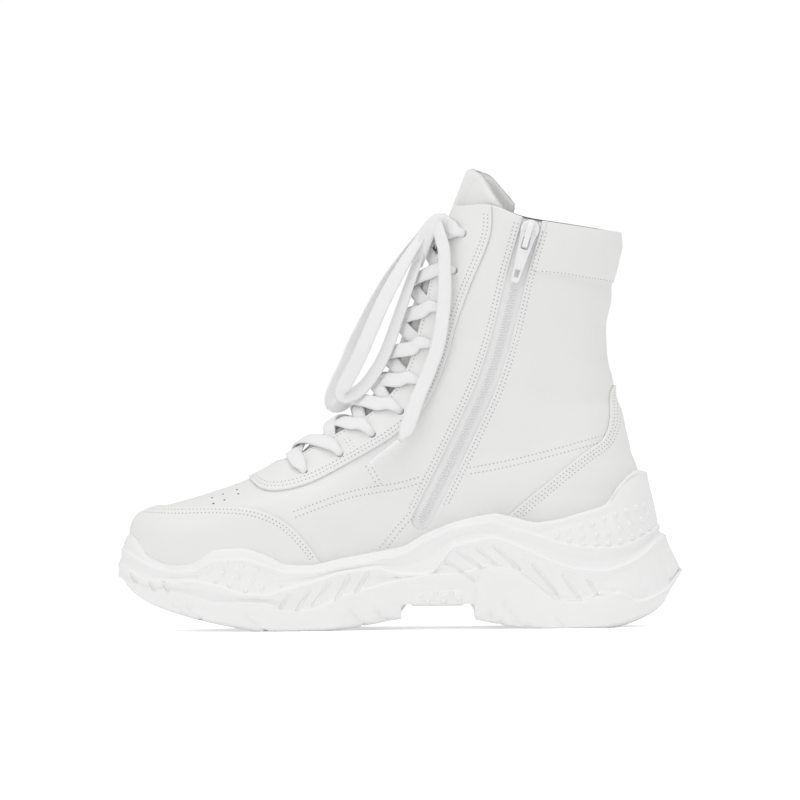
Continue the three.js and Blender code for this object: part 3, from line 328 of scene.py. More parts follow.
def smooth_route(rows, spacing):
    """Points and facings every spacing millimetres on a centripetal curve through rows of x, y, z, facing."""
    rows = np.array(rows, float)
    padded = np.concatenate([[2 * rows[0] - rows[1]], rows, [2 * rows[-1] - rows[-2]]])
    lengths = np.linalg.norm(np.diff(padded[:, :3], axis=0), axis=1) ** 0.5
    times = np.concatenate([[0], np.cumsum(lengths)])
    dense = []
    for i in range(1, len(padded) - 2):
        t = np.linspace(times[i], times[i + 1], 24, endpoint=False)[:, None]
        t0, t1, t2, t3 = times[i - 1:i + 3]
        p0, p1, p2, p3 = padded[i - 1:i + 3]
        a1, a2 = lerp(p0, p1, (t - t0) / (t1 - t0)), lerp(p1, p2, (t - t1) / (t2 - t1))
        a3 = lerp(p2, p3, (t - t2) / (t3 - t2))
        b1, b2 = lerp(a1, a2, (t - t0) / (t2 - t0)), lerp(a2, a3, (t - t1) / (t3 - t1))
        dense.append(lerp(b1, b2, (t - t1) / (t2 - t1)))
    dense = np.concatenate([*dense, padded[-2:-1]])
    run = run_along(dense[:, :3])
    count = max(4, int(round(run[-1] / spacing)) + 1)
    even = np.linspace(0, run[-1], count)
    out = np.stack([np.interp(even, run, dense[:, c]) for c in range(6)], -1)
    return out[:, :3], unit(out[:, 3:]), even


def lace_mesh(points, facings, run, width, thick):
    """Vertices, faces and uv of a flat woven tube. width and thick may change from point to point."""
    count, sides = len(points), 20
    width, thick = np.broadcast_to(width, count), np.broadcast_to(thick, count)
    along = unit(np.gradient(points, axis=0))
    across = unit(np.cross(facings, along))
    facing = np.cross(along, across)
    turn = 2 * math.pi * np.arange(sides) / sides
    flat = np.sign(np.cos(turn)) * np.abs(np.cos(turn)) ** 0.75
    high = np.sign(np.sin(turn)) * np.abs(np.sin(turn)) ** 0.85
    high = high * (1 + 0.22 * np.abs(np.cos(turn)) ** 4 - 0.10 * np.abs(np.sin(turn)) ** 6)
    rings = (
        points[:, None]
        + across[:, None] * (flat[None, :, None] * width[:, None, None] / 2)
        + facing[:, None] * (high[None, :, None] * thick[:, None, None] / 2)
    )
    vertices = rings.reshape(-1, 3)
    faces = grid_faces(count, sides, closed=True)[:, ::-1].tolist()
    around_mm = np.arange(sides) / sides * 2 * LACE_WIDTH
    uv = np.stack(np.broadcast_arrays(run[:, None], around_mm[None]), -1).reshape(-1, 2)
    middle = len(vertices)
    vertices = np.concatenate([vertices, points[:1] - along[:1] * 0.4, points[-1:] + along[-1:] * 0.4])
    uv = np.concatenate([uv, [[run[0], 0], [run[-1], 0]]])
    top = (count - 1) * sides
    for c in range(sides):
        after = (c + 1) % sides
        faces.append([middle, c, after])
        faces.append([middle + 1, top + after, top + c])
    return vertices, faces, uv


def joined_parts(parts):
    """One set of vertices, faces and uv from several."""
    vertices, faces, uvs, start = [], [], [], 0
    for v, f, uv in parts:
        vertices.append(v)
        uvs.append(uv)
        faces += [[start + i for i in face] for face in f]
        start += len(v)
    return np.concatenate(vertices), faces, np.concatenate(uvs)


def surface_rows(rows):
    """Rows of ridge level, aside, height and lean as rows of x, y, z and the way that a flat side faces."""
    level_on_ridge, aside, height, lean = np.array(rows, float).T
    around, level = place_beside(level_on_ridge, aside)
    normal = last_normal(around, level)
    sideways = np.zeros_like(normal)
    sideways[:, 1] = np.where(lean < 0, 1, -1)
    facing = unit(lerp(normal, sideways, np.abs(lean)[:, None]))
    return np.concatenate([last_point(around, level) + normal * height[:, None], facing], 1)


# %% The bow, on routes like those of the CAD model but nearer to the picture
# Each row is a level on the ridge, how far aside and how high it lies, and how far its flat side turns.
BOW = {
    "lace_loop_medial": [
        (0.944, 4.7, 7, 0.1), (0.88, 7.5, 7.4, 0.25), (0.83, 9, 7.4, 0.3), (0.78, 9, 7.4, 0.35),
        (0.73, 9, 7.6, 0.4), (0.69, 9, 7.8, 0.45), (0.65, 9, 8.0, 0.5), (0.622, 9, 9.0, 0.6),
        (0.61, 9, 11.2, 0.65), (0.613, 9, 14.2, 0.7), (0.635, 9, 17.2, 0.75), (0.67, 9, 19.4, 0.8),
        (0.71, 9, 20.4, 0.8), (0.755, 9, 20.2, 0.75), (0.8, 9, 18.8, 0.7), (0.85, 8.5, 16.2, 0.6),
        (0.895, 7.5, 13.2, 0.4), (0.925, 6.8, 11.0, 0.3), (0.956, 5.2, 9.8, 0),
    ],
    "lace_loop_lateral": [
        (0.944, -4.7, 7, -0.1), (0.88, -7.5, 7.4, -0.25), (0.83, -9, 7.4, -0.3), (0.78, -9, 7.4, -0.35),
        (0.73, -9, 7.6, -0.4), (0.69, -9, 7.8, -0.45), (0.65, -9, 7.8, -0.5), (0.614, -9, 7.9, -0.5),
        (0.592, -9, 8.9, -0.6), (0.584, -9, 11.4, -0.7), (0.592, -9, 15.2, -0.75), (0.617, -9, 19.4, -0.8),
        (0.655, -9, 23.2, -0.8), (0.705, -9, 25.6, -0.8), (0.75, -9, 25.0, -0.8), (0.8, -9, 22.4, -0.7),
        (0.85, -8.5, 18.8, -0.6), (0.895, -7.5, 14.6, -0.4), (0.925, -6.8, 11.6, -0.3), (0.956, -5.2, 9.8, 0),
    ],
    "lace_end_medial": [
        (0.958, 10.5, 6.8, 0), (0.942, 16.5, 7.3, 0), (0.924, 20.5, 7.0, 0), (0.898, 23, 6.8, 0),
        (0.865, 25.2, 6.6, 0), (0.81, 26.6, 6.5, 0), (0.759, 27.2, 6.5, 0), (0.715, 28.0, 6.5, 0),
        (0.674, 29.6, 6.5, 0), (0.648, 30.7, 6.5, 0), (0.627, 31.2, 6.5, 0),
    ],
    "lace_end_lateral": [
        (0.962, -8.8, 6.8, 0), (0.946, -13.5, 7.1, 0), (0.928, -17.5, 6.9, 0), (0.9, -21.5, 6.7, 0),
        (0.867, -24.8, 6.6, 0), (0.81, -27, 6.5, 0), (0.759, -28.6, 6.5, 0), (0.715, -30.4, 6.5, 0),
        (0.68, -31.8, 6.5, 0), (0.655, -32.6, 6.5, 0), (0.635, -33.2, 6.5, 0),
    ],
}
KNOT_LEVEL, KNOT_DROP, KNOT_OUT = 0.968, 0.016, 4.7
TONGUE_SUNK, TONGUE_SWELL = 1.5, 1.3
GATHER_RUN = 7  # millimetres over which an end is gathered into its plastic tip
pieces, cords = {}, []
for name, rows in BOW.items():
    points, facings, run = smooth_route(surface_rows(rows), 1.2)
    width, thick = LACE_WIDTH, LACE_THICK
    if "end" in name:
        share = smooth((run - run[-1] + GATHER_RUN) / GATHER_RUN)
        width, thick = lerp(LACE_WIDTH, 2.8, share), lerp(LACE_THICK, 2.4, share)
    piece = mesh_object("woven_" + name, *lace_mesh(points, facings, run, width, thick))
    pieces[name] = piece
    cords.append((piece, points, run[-1]))
    print(name, "length", round(run[-1]), "mm")


# %% The plastic tips, turned from a cylinder with a rolled rim at each end
AGLET_ENDS = {"aglet_medial": (0.625, 31.24, 0.577, 32.6), "aglet_lateral": (0.633, -33.25, 0.585, -34.6)}
AGLET_RADIUS, AGLET_OFFSET = 1.5, 6.5
for name, (from_level, from_aside, to_level, to_aside) in AGLET_ENDS.items():
    around, level = place_beside([from_level, to_level], [from_aside, to_aside])
    start, end = on_last(around, level, [AGLET_OFFSET, AGLET_OFFSET])
    start, end = Vector(metres(start)), Vector(metres(end))
    bpy.ops.mesh.primitive_cylinder_add(
        vertices=24, radius=AGLET_RADIUS * MM, depth=(end - start).length, location=(start + end) / 2,
        rotation=(end - start).to_track_quat("Z", "Y").to_euler(),
    )
    aglet = bpy.context.object
    aglet.name = aglet.data.name = "tip_" + name
    bpy.ops.object.transform_apply(location=True, rotation=True, scale=True)
    bevel = aglet.modifiers.new("rounded rim", "BEVEL")
    bevel.width, bevel.segments, bevel.limit_method = 0.45 * MM, 3, "ANGLE"
    bpy.ops.object.modifier_apply(modifier=bevel.name)
    bpy.ops.object.shade_smooth_by_angle(angle=math.radians(40))
    pieces[name] = aglet
    bpy.ops.object.select_all(action="DESELECT")


# %% The knot: bands wrapped round the crossing of the loops
def wrap_route(turns, radius_out, radius_up, shift, slant):
    """Rows for a band that goes round the bow's middle. The middle lies on the ridge."""
    out = last_normal(0, KNOT_LEVEL)
    centre = last_point(0, KNOT_LEVEL - KNOT_DROP) + out * (KNOT_OUT - TONGUE_SUNK + 0.6)
    across = np.array([0, 1.0, 0])
    up = np.cross(out, across)
    rows = []
    for t in np.linspace(0, 1, 15):
        angle = 2 * math.pi * turns * t + 0.6
        radial = out * math.cos(angle) * radius_out + up * math.sin(angle) * radius_up
        facing = unit(out * math.cos(angle) * radius_up + up * math.sin(angle) * radius_out)
        rows.append([*(centre + radial + across * (shift + slant * (t - 0.5))), *facing])
    return rows


knot_parts = []
for turns, radius_out, radius_up, shift, slant, width in [
    (1.0, 3.1, 3.0, 0.2, 1.2, 6.6),
    (0.55, 2.5, 2.6, -4.4, 3.4, 6.2),
    (0.55, 2.5, 2.6, 4.4, -3.4, 6.2),
]:
    points, facings, run = smooth_route(wrap_route(turns, radius_out, radius_up, shift, slant), 0.7)
    knot_parts.append(lace_mesh(points, facings, run, width, 2.0))
# On each side the loop's front leg folds over the top of the knot and comes down as the free end.
KNOT_FOLD = [(418, 264, 8.2), (423, 252, 10.6), (428.5, 238, 12.2), (434.5, 225, 13.0), (440.5, 220, 13.2),
             (446, 222.5, 13.2), (449, 231, 13.6), (449.5, 243, 14.6), (448.5, 252, 16)]
for side in (-1, 1):
    fold_x, fold_z = from_picture([(px, py) for px, py, _ in KNOT_FOLD])
    rows = [(x, side * out, z, -0.15, side, 0.1) for x, z, (_, _, out) in zip(fold_x, fold_z, KNOT_FOLD)]
    points, facings, run = smooth_route(rows, 0.8)
    knot_parts.append(lace_mesh(points, facings, run, 7.4, 1.9))
pieces["lace_knot"] = mesh_object("woven_lace_knot", *joined_parts(knot_parts))

# %% [markdown]
# The lace goes down through each eyelet from outside. It comes there from under the other facing, one
# eyelet nearer the toe. Where it passes an eyelet it is gathered to the hole's width. The second strand of
# each crossing lies on the first, so it is lifted in the middle.

# %% Lace strands through the eyelets
THROAT_SHARE, EYELET_SHARE = curves_of([
    (0.48, 0.72, 0.93), (0.52, 0.78, 0.95), (0.56, 0.88, 0.97), (0.6, 0.98, 0.99), (0.64, 1, 1),
    (0.7, 0.97, 0.96), (0.76, 0.91, 0.91), (0.83, 0.84, 0.89), (0.9, 0.66, 0.87), (0.96, 0.5, 0.82),
    (1.02, 0.42, 0.78),
])
EYELET_LEVELS = np.array([0.495, 0.552, 0.605, 0.654, 0.706, 0.766, 0.834, 0.9, 0.96])
THROAT_FROM, THROAT_ROUND, THROAT_WHOLE = 0.468, 0.045, 0.513  # its toe end is round up to THROAT_WHOLE


def throat_half(level):
    start = np.clip(1 - (np.asarray(level, float) - THROAT_FROM) / THROAT_ROUND, 0, 1)
    return THROAT_HALF * THROAT_SHARE(level) * np.sqrt(1 - start**2)


def eyelet_aside(level):
    return EYELET_HALF * EYELET_SHARE(level)


def gathered(from_eyelet):
    """Width and thickness of a lace at distances from the eyelet that gathers it."""
    marks, widths, thicks = [0, 4, 6, 11], [3.4, 3.6, 4.8, 8], [2.6, 2.6, 2.2, 1.8]
    return np.interp(from_eyelet, marks, widths), np.interp(from_eyelet, marks, thicks)


def strand(from_level, to_level, side, lift):
    """A lace from one eyelet over its facing and the tongue, and under the facing on the other side."""
    stations = [  # share of the way, what it is measured from, how far beyond, height, width, thickness
        (0.0, "eyelet", 0.0, -2.4, 3.6, 2.6), (0.0, "eyelet", -0.4, 1.6, 3.8, 2.6),
        (0.02, "eyelet", -1.8, 3.2, 5.0, 2.3), (0.08, "eyelet", -4.6, 3.1, 7.2, 2.0),
        (0.24, "edge", 1.0, 2.8, 8.0, 1.9), (0.48, "edge", -7.5, 2.4 + lift / 2, 8.0, 1.9),
        (0.7, "ridge", 0.0, 1.6 + lift, 8.0, 1.8), (0.86, "edge", -8.0, 1.0 + lift / 2, 7.6, 1.8),
        (1.0, "edge", -1.4, -0.6, 7.2, 1.8), (1.06, "edge", 3.0, -3.0, 6.6, 1.6),
    ]
    rows, widths = [], []
    for way, mark, more, height, width, thick in stations:
        level = lerp(from_level, to_level, way)
        sign = side if way < 0.7 else -side
        edge = throat_half(max(level, THROAT_WHOLE))
        base = {"eyelet": eyelet_aside(level), "edge": edge, "ridge": 0.01}[mark]
        rows.append((level, sign * max(base + more, 0.01), height, 0))
        widths.append((width, thick))
    rows = surface_rows(rows)
    points, facings, run = smooth_route(rows, 0.9)
    marks = [run[np.argmin(np.linalg.norm(points - row[:3], axis=1))] for row in rows]
    width = np.interp(run, marks, [w for w, _ in widths])
    thick = np.interp(run, marks, [t for _, t in widths])
    return lace_mesh(points, facings, run, width, thick)


def toe_bar():
    """The straight bar at the toe end, down through both of the lowest eyelets."""
    level = EYELET_LEVELS[0]
    reach = eyelet_aside(level)
    shape = [(reach, -2.4), (reach, 1.6), (reach - 1.6, 3.1), (reach - 5, 2.9),
             (throat_half(THROAT_WHOLE), 2.7), (8, 2.0), (0.01, 1.6)]
    half_rows = [(level, aside, height, 0) for aside, height in shape]
    rows = surface_rows(half_rows + [(level, -aside, height, 0) for _, aside, height, _ in half_rows[-2::-1]])
    points, facings, run = smooth_route(rows, 0.9)
    return lace_mesh(points, facings, run, *gathered(np.minimum(run, run[-1] - run)))


def strand_to_knot(side):
    """From a top eyelet to the bow."""
    top = EYELET_LEVELS[-1]
    reach = eyelet_aside(top)
    rows = surface_rows([
        (top, side * reach, -2.4, 0), (top, side * (reach - 0.4), 1.6, 0), (top, side * (reach - 2), 3.4, 0),
        (top + 0.002, side * (reach - 6), 3.4, 0), (top + 0.004, side * 13, 2.7, 0),
        (top + 0.006, side * 8, 2.4, 0), (top + 0.008, side * 3, 2.6, 0),
    ])
    points, facings, run = smooth_route(rows, 0.9)
    return lace_mesh(points, facings, run, *gathered(run))


strands = [toe_bar(), strand_to_knot(1), strand_to_knot(-1)]
for i, (low, high) in enumerate(zip(EYELET_LEVELS, EYELET_LEVELS[1:])):
    first = 1 if i % 2 else -1
    strands.append(strand(high, low, first, 0.0))
    strands.append(strand(high, low, -first, 2.2))
pieces["lace_crossings"] = mesh_object("lace_strands", *joined_parts(strands))
print("lace strands:", len(strands))

# %% [markdown]
# ## Panels cut from a surface
# A panel is leather with an outline. On a computed surface its outline is a line where a measure of
# distance is nought, so the sheet is cut there like cloth along a chalk line: grid points near the line
# are moved onto it, cells that cross it are split, and the edge is then rolled over and closed behind.
# Boolean modifiers could cut the same shape, but they leave no even row of points along the edge to round.

# %% Cutting a grid along the zero line of a field
CELL = 1.25  # millimetres between grid points


def cut_grid(place, field, us, vs):
    """Keeps the part of a grid where field is positive: its parameters, faces and points on the cut."""
    rows, columns = len(vs), len(us)
    u, v = np.meshgrid(us, vs)
    f = field(u, v)
    step_u = np.gradient(us)[None, :] + 0 * u
    step_v = np.gradient(vs)[:, None] + 0 * v
    where = place(u, v)
    size_u = np.linalg.norm(np.gradient(where, axis=1), axis=-1)
    size_v = np.linalg.norm(np.gradient(where, axis=0), axis=-1)
    near = np.abs(f) < 1.2 * np.maximum(size_u, size_v)
    on_line = np.zeros(f.shape, bool)
    index = np.nonzero(near)
    if len(index[0]):
        nu, nv, nf = u[index], v[index], f[index]
        su, sv, mu, mv = step_u[index], step_v[index], size_u[index], size_v[index]
        for _ in range(3):
            gu = (field(nu + su * 0.02, nv) - field(nu - su * 0.02, nv)) / 0.04 / mu
            gv = (field(nu, nv + sv * 0.02) - field(nu, nv - sv * 0.02)) / 0.04 / mv
            steep = np.maximum(gu**2 + gv**2, 1e-3)
            nu = nu - np.clip(nf * gu / steep / mu, -0.5, 0.5) * su
            nv = nv - np.clip(nf * gv / steep / mv, -0.5, 0.5) * sv
            nf = field(nu, nv)
        far = np.hypot((nu - u[index]) / su, (nv - v[index]) / sv)
        good = (np.abs(nf) < 0.05) & (far < 0.36)
        good &= (index[1] > 0) & (index[1] < columns - 1) & (index[0] > 0) & (index[0] < rows - 1)
        chosen = tuple(i[good] for i in index)
        u[chosen], v[chosen], f[chosen] = nu[good], nv[good], 0
        on_line[chosen] = True
    params = np.stack([u.ravel(), v.ravel()], -1)
    f, on_line = f.ravel(), on_line.ravel()
    sign = np.where(on_line, 0, np.sign(f)).astype(int)
    quads = grid_faces(rows, columns)
    flip = (quads[:, 0] // columns + quads[:, 0]) % 2 == 0
    triangles = np.concatenate([
        quads[flip][:, [0, 1, 2]], quads[flip][:, [0, 2, 3]],
        quads[~flip][:, [0, 1, 3]], quads[~flip][:, [1, 2, 3]],
    ])
    signs = sign[triangles]
    low, high = signs.min(1), signs.max(1)
    centre = params[triangles].mean(1)
    flat = (low == 0) & (high == 0)
    keep = (low >= 0) & (high > 0)
    if flat.any():
        keep[flat] = field(centre[flat][:, 0], centre[flat][:, 1]) > 0
    faces = triangles[keep].tolist()
    mixed = triangles[(low < 0) & (high > 0)]
    crossing, extra = {}, []

    def cross_point(a, b):
        key = (a, b) if a < b else (b, a)
        if key not in crossing:
            crossing[key] = len(params) + len(extra)
            t = f[key[0]] / (f[key[0]] - f[key[1]])
            extra.append((key[0], key[1], t))
        return crossing[key]

    for triangle in mixed:
        polygon = []
        for a, b in zip(triangle, np.roll(triangle, -1)):
            if sign[a] >= 0:
                polygon.append(int(a))
            if sign[a] * sign[b] < 0:
                polygon.append(cross_point(int(a), int(b)))
        if len(polygon) >= 3:
            faces.append(polygon)
    if extra:
        a, b, t = (np.array(column) for column in zip(*extra))
        for _ in range(2):
            middle = lerp(params[a], params[b], t[:, None])
            value = field(middle[:, 0], middle[:, 1])
            t = np.clip(t + value / (f[a] - f[b]), 0.02, 0.98)
        params = np.concatenate([params, lerp(params[a], params[b], t[:, None])])
        on_line = np.concatenate([on_line, np.ones(len(extra), bool)])
    used = np.zeros(len(params), bool)
    for face in faces:
        used[face] = True
    renumber = np.cumsum(used) - 1
    return params[used], [[int(renumber[i]) for i in face] for face in faces], on_line[used]


def border_edges(faces):
    """The directed edges of faces that no other face shares."""
    count = {}
    for face in faces:
        for a, b in zip(face, face[1:] + face[:1]):
            count[(a, b)] = count.get((a, b), 0) + 1
    return [(a, b) for (a, b) in count if (b, a) not in count]


def chained(edges):
    """Directed edges as lists of points that follow each other."""
    after = dict(edges)
    starts = set(after) - set(after.values())
    lines = []
    while after:
        start = starts.pop() if starts else next(iter(after))
        line = [start]
        while line[-1] in after:
            line.append(after.pop(line[-1]))
        lines.append(line)
    return lines


def panel(name, place, field, us, vs, height, under, roll=0.5, steps=3, back=True):
    """A sheet of leather: its face at height above the surface, its rim rolled over down to under.

    place(u, v, offset) gives points, and field(u, v) is the distance in from the outline, in millimetres.
    """
    params, faces, _ = cut_grid(lambda u, v: place(u, v, 0 * u), lambda u, v: field(u, v) - roll, us, vs)
    u, v = params.T
    face_points = place(u, v, height + 0 * u)
    under_points = place(u, v, under + 0 * u)
    outward = unit(face_points - under_points)
    edges = border_edges(faces)
    sideways = np.zeros_like(face_points)
    for a, b in edges:
        direction = np.cross(unit(face_points[b] - face_points[a]), outward[a])
        sideways[a] += direction
        sideways[b] += direction
    rim = sorted({i for edge in edges for i in edge})
    sideways = unit(sideways[rim])
    at_rim = {vertex: i for i, vertex in enumerate(rim)}
    rows = [face_points]
    for k in range(1, steps + 1):
        turn = k / steps * math.pi / 2
        rows.append(
            face_points[rim] + sideways * roll * math.sin(turn) - outward[rim] * roll * (1 - math.cos(turn)))
    rows.append(under_points[rim] + sideways * roll)
    vertices = np.concatenate(rows + ([under_points] if back else []))
    base = len(face_points)
    behind = base + (steps + 1) * len(rim)
    all_faces = [list(face) for face in faces]
    for a, b in edges:
        previous = (a, b)
        for k in range(steps + 1):
            row = (base + k * len(rim) + at_rim[a], base + k * len(rim) + at_rim[b])
            all_faces.append([previous[1], previous[0], row[0], row[1]])
            previous = row
        if back:
            all_faces.append([previous[1], previous[0], behind + a, behind + b])
    if back:
        all_faces += [[behind + i for i in face[::-1]] for face in faces]
    return mesh_object(name, vertices, all_faces)


def contour(place, field, us, vs, inset):
    """Smooth lines at a distance inside an outline, as arrays of parameters."""
    params, faces, on_line = cut_grid(
        lambda u, v: place(u, v, 0 * u), lambda u, v: field(u, v) - inset, us, vs)
    edges = [(a, b) for a, b in border_edges(faces) if on_line[a] and on_line[b]]
    return [params[line] for line in chained(edges) if len(line) > 4]


# %% Distances in the side view
def smooth_line(pairs, spacing=2.5):
    """A smooth plane curve through pairs, as an array of points."""
    rows = [(a, b, 0, 0, 0, 1) for a, b in pairs]
    return smooth_route(rows, spacing)[0][:, :2]


def distance_in(outline, x, z):
    """How far inside a closed outline points are, negative outside."""
    p = np.stack([np.ravel(x), np.ravel(z)], -1)
    a, b = outline, np.roll(outline, -1, axis=0)
    nearest = np.full(len(p), 1e9)
    inside = np.zeros(len(p), bool)
    for (ax, az), (bx, bz) in zip(a, b):
        ex, ez = bx - ax, bz - az
        length = ex * ex + ez * ez
        if length < 1e-12:
            continue
        t = np.clip(((p[:, 0] - ax) * ex + (p[:, 1] - az) * ez) / length, 0, 1)
        nearest = np.minimum(nearest, (p[:, 0] - ax - t * ex) ** 2 + (p[:, 1] - az - t * ez) ** 2)
        crosses = (az > p[:, 1]) != (bz > p[:, 1])
        if ez != 0:
            inside ^= crosses & (p[:, 0] < ax + (p[:, 1] - az) / ez * ex)
    distance = np.sqrt(nearest)
    return np.where(inside, distance, -distance).reshape(np.shape(x))


def distance_to_line(line, x, z):
    """Distance to an open line in the side view."""
    p = np.stack([np.ravel(x), np.ravel(z)], -1)
    nearest = np.full(len(p), 1e9)
    for (ax, az), (bx, bz) in zip(line, line[1:]):
        ex, ez = bx - ax, bz - az
        t = np.clip(((p[:, 0] - ax) * ex + (p[:, 1] - az) * ez) / max(ex * ex + ez * ez, 1e-12), 0, 1)
        nearest = np.minimum(nearest, (p[:, 0] - ax - t * ex) ** 2 + (p[:, 1] - az - t * ez) ** 2)
    return np.sqrt(nearest).reshape(np.shape(x))


def soft_lines(rows, spacing):
    """Lines of the picture in the side view, each with how far it stands out or sinks in, and its width."""
    return [(smooth_line(np.stack(from_picture(line), -1), spacing), deep, wide) for line, deep, wide in rows]


def relief_of(lines, x, z):
    """How far soft lines raise a surface, in millimetres."""
    return sum(deep * np.exp(-((distance_to_line(line, x, z) / wide) ** 2)) for line, deep, wide in lines)


print("cell", CELL, "mm")

# %% [markdown]
# ## The upper
# The upper's base is one sheet of smooth leather over the last. Toe cap, facings and heel counter are sewn
# on it, a millimetre and a half proud, and a padded cuff is sewn on behind the zip. All of them use the same
# surface, with the same soft folds.

# %% Outlines of the panels, in the side view
def panel_line(pairs):
    return np.array([(x_at(at), BALL_PLATFORM + up * SHAFT_HEIGHT) for at, up in pairs])


TOE_CAP_EDGE = smooth_line(panel_line([
    (0.052, 0.24), (0.1, 0.238), (0.165, 0.24), (0.218, 0.237), (0.26, 0.222), (0.3, 0.185), (0.33, 0.13),
    (0.37, 0.03),
]))
COUNTER_EDGE = smooth_line(panel_line([
    (0.9, 0.642), (0.876, 0.62), (0.872, 0.56), (0.866, 0.48), (0.856, 0.445), (0.83, 0.41), (0.765, 0.315),
    (0.69, 0.2), (0.64, 0.1),
]))
EYESTAY_EDGE = smooth_line(panel_line([
    (0.225, 0.36), (0.243, 0.312), (0.262, 0.292), (0.29, 0.29), (0.34, 0.313), (0.41, 0.378), (0.49, 0.465),
    (0.54, 0.545), (0.568, 0.63), (0.585, 0.71), (0.604, 0.83), (0.628, 0.95), (0.66, 1.09), (0.668, 1.15),
    (0.665, 1.3),
]))
CUFF_EDGE = smooth_line(panel_line([
    (0.775, 1.3), (0.765, 1.16), (0.752, 1.09), (0.738, 1.01), (0.8, 0.985), (0.95, 0.935),
]))
ZIP_CENTRE = smooth_line(panel_line([
    (0.745, 1.25), (0.738, 1.165), (0.7257, 1.083), (0.712, 1.0), (0.685, 0.8), (0.655, 0.63), (0.62, 0.49),
    (0.585, 0.36), (0.553, 0.245), (0.538, 0.19),
]))
FAR, LOW, HIGH = 300.0, -10.0, 270.0


def closed_outline(line, *corners):
    return np.concatenate([line, np.array(corners, float)])


TOE_CAP_OUTLINE = closed_outline(
    TOE_CAP_EDGE, (TOE_CAP_EDGE[-1, 0], LOW), (-FAR, LOW), (-FAR, TOE_CAP_EDGE[0, 1]))
COUNTER_OUTLINE = closed_outline(
    COUNTER_EDGE, (COUNTER_EDGE[-1, 0], LOW), (FAR, LOW), (FAR, COUNTER_EDGE[0, 1]))
EYESTAY_OUTLINE = closed_outline(EYESTAY_EDGE, (TOE_X, HIGH), (TOE_X, EYESTAY_EDGE[0, 1]))
CUFF_OUTLINE = closed_outline(CUFF_EDGE, (-TOE_X, CUFF_EDGE[-1, 1]), (-TOE_X, HIGH), (CUFF_EDGE[0, 0], HIGH))
ZIP_HALF = 5.25
OVERLAY_TOP, OVERLAY_UNDER = 1.5, 0.1  # an overlay's outer and inner surface above the last
EYELETS = place_beside(
    np.concatenate([EYELET_LEVELS, EYELET_LEVELS]),
    np.concatenate([eyelet_aside(EYELET_LEVELS), -eyelet_aside(EYELET_LEVELS)]),
)
EYELET_POINTS = last_point(*EYELETS)


# %% The surface that every leather piece shares
def on_upper(around, level, offset):
    return on_last(around, level, offset + leather_relief(around, level))


# Soft folds: a line in the picture, how far it stands out or sinks in, and how wide it is, in millimetres
FOLDS = [
    ([(538, 272), (575, 279), (616, 288)], -0.35, 2.5),
    ([(548, 288), (580, 295), (622, 303)], 1.1, 9.0),
    ([(524, 338), (545, 360), (575, 373), (610, 380)], 1.2, 7.0),
    ([(540, 386), (568, 399), (590, 403), (612, 398)], -1.1, 6.0),
    ([(505, 428), (560, 426), (608, 414)], 0.6, 9.0),
    ([(458, 350), (482, 318)], -0.45, 6.0),
    ([(448, 380), (474, 352)], 0.35, 6.0),
    ([(432, 524), (480, 506), (530, 516)], -0.9, 7.0),
    ([(500, 482), (550, 470), (596, 450)], 0.6, 9.0),
    ([(560, 512), (600, 490)], -0.6, 6.0),
    ([(330, 536), (376, 548)], -0.6, 7.0),
    ([(300, 530), (350, 515), (400, 500)], 0.4, 8.0),
    ([(562, 262), (575, 232)], -0.35, 8.0),
    ([(150, 546), (153, 560)], -0.4, 1.8), ([(157, 548), (162, 562)], -0.4, 1.8),
    ([(166, 550), (170, 562)], -0.35, 1.8), ([(190, 552), (240, 536), (290, 546)], -0.5, 6.0),
]
FOLD_LINES = soft_lines(FOLDS, 5.0)


def leather_relief(around, level):
    """Soft folds and swellings of the leather, in millimetres off the last. Both sides have the same."""
    p = last_point(around, level)
    return relief_of(FOLD_LINES, p[..., 0], p[..., 2])


RIDGE_LEVELS = np.linspace(0, 1.3, 700)
RIDGE_POINTS, RIDGE_TANGENTS = last_point(0, RIDGE_LEVELS), ridge_tangent(RIDGE_LEVELS)


def throat_gap(around, level):
    """Distance outside the opening between the facings."""
    p = last_point(around, level)
    low, high = np.zeros(p.shape[:-1]), np.full(p.shape[:-1], 1.3)
    for _ in range(14):  # the ridge level whose plane across the ridge goes through the place
        middle = (low + high) / 2
        beyond = sum(
            (p[..., c] - np.interp(middle, RIDGE_LEVELS, RIDGE_POINTS[:, c]))
            * np.interp(middle, RIDGE_LEVELS, RIDGE_TANGENTS[:, c])
            for c in (0, 2)
        ) < 0
        low, high = np.where(beyond, low, middle), np.where(beyond, middle, high)
    ridge_level = (low + high) / 2
    aside = np.abs(p[..., 1] - np.interp(ridge_level, RIDGE_LEVELS, RIDGE_POINTS[:, 1]))
    start = ridge_level - THROAT_FROM
    gap = aside - throat_half(np.maximum(ridge_level, THROAT_FROM + 1e-3))
    before = -start * 190  # millimetres along the ridge before the throat's toe end
    return np.where(np.abs(around) > 0.3, 60, np.where(start < 0, np.hypot(before, aside), gap))


def eyelet_gap(around, level, radius):
    p = last_point(around, level)
    nearest = np.full(p.shape[:-1], 1e9)
    for centre in EYELET_POINTS:
        nearest = np.minimum(nearest, np.sum((p - centre) ** 2, -1))
    return np.sqrt(nearest) - radius


def around_steps(low, high, cell=CELL):
    """Steps round the last that are about as wide everywhere, seen at a middle height."""
    dense = np.linspace(low, high, 2000)
    p = last_point(dense, 0.3)
    q = last_point(dense, 0.9)
    low_steps, high_steps = (np.linalg.norm(np.diff(line, axis=0), axis=1) for line in (p, q))
    run = np.concatenate([[0], np.cumsum(0.75 * low_steps + 0.25 * high_steps)])
    count = int(run[-1] / cell) + 1
    return np.interp(np.linspace(0, run[-1], count), run, dense)


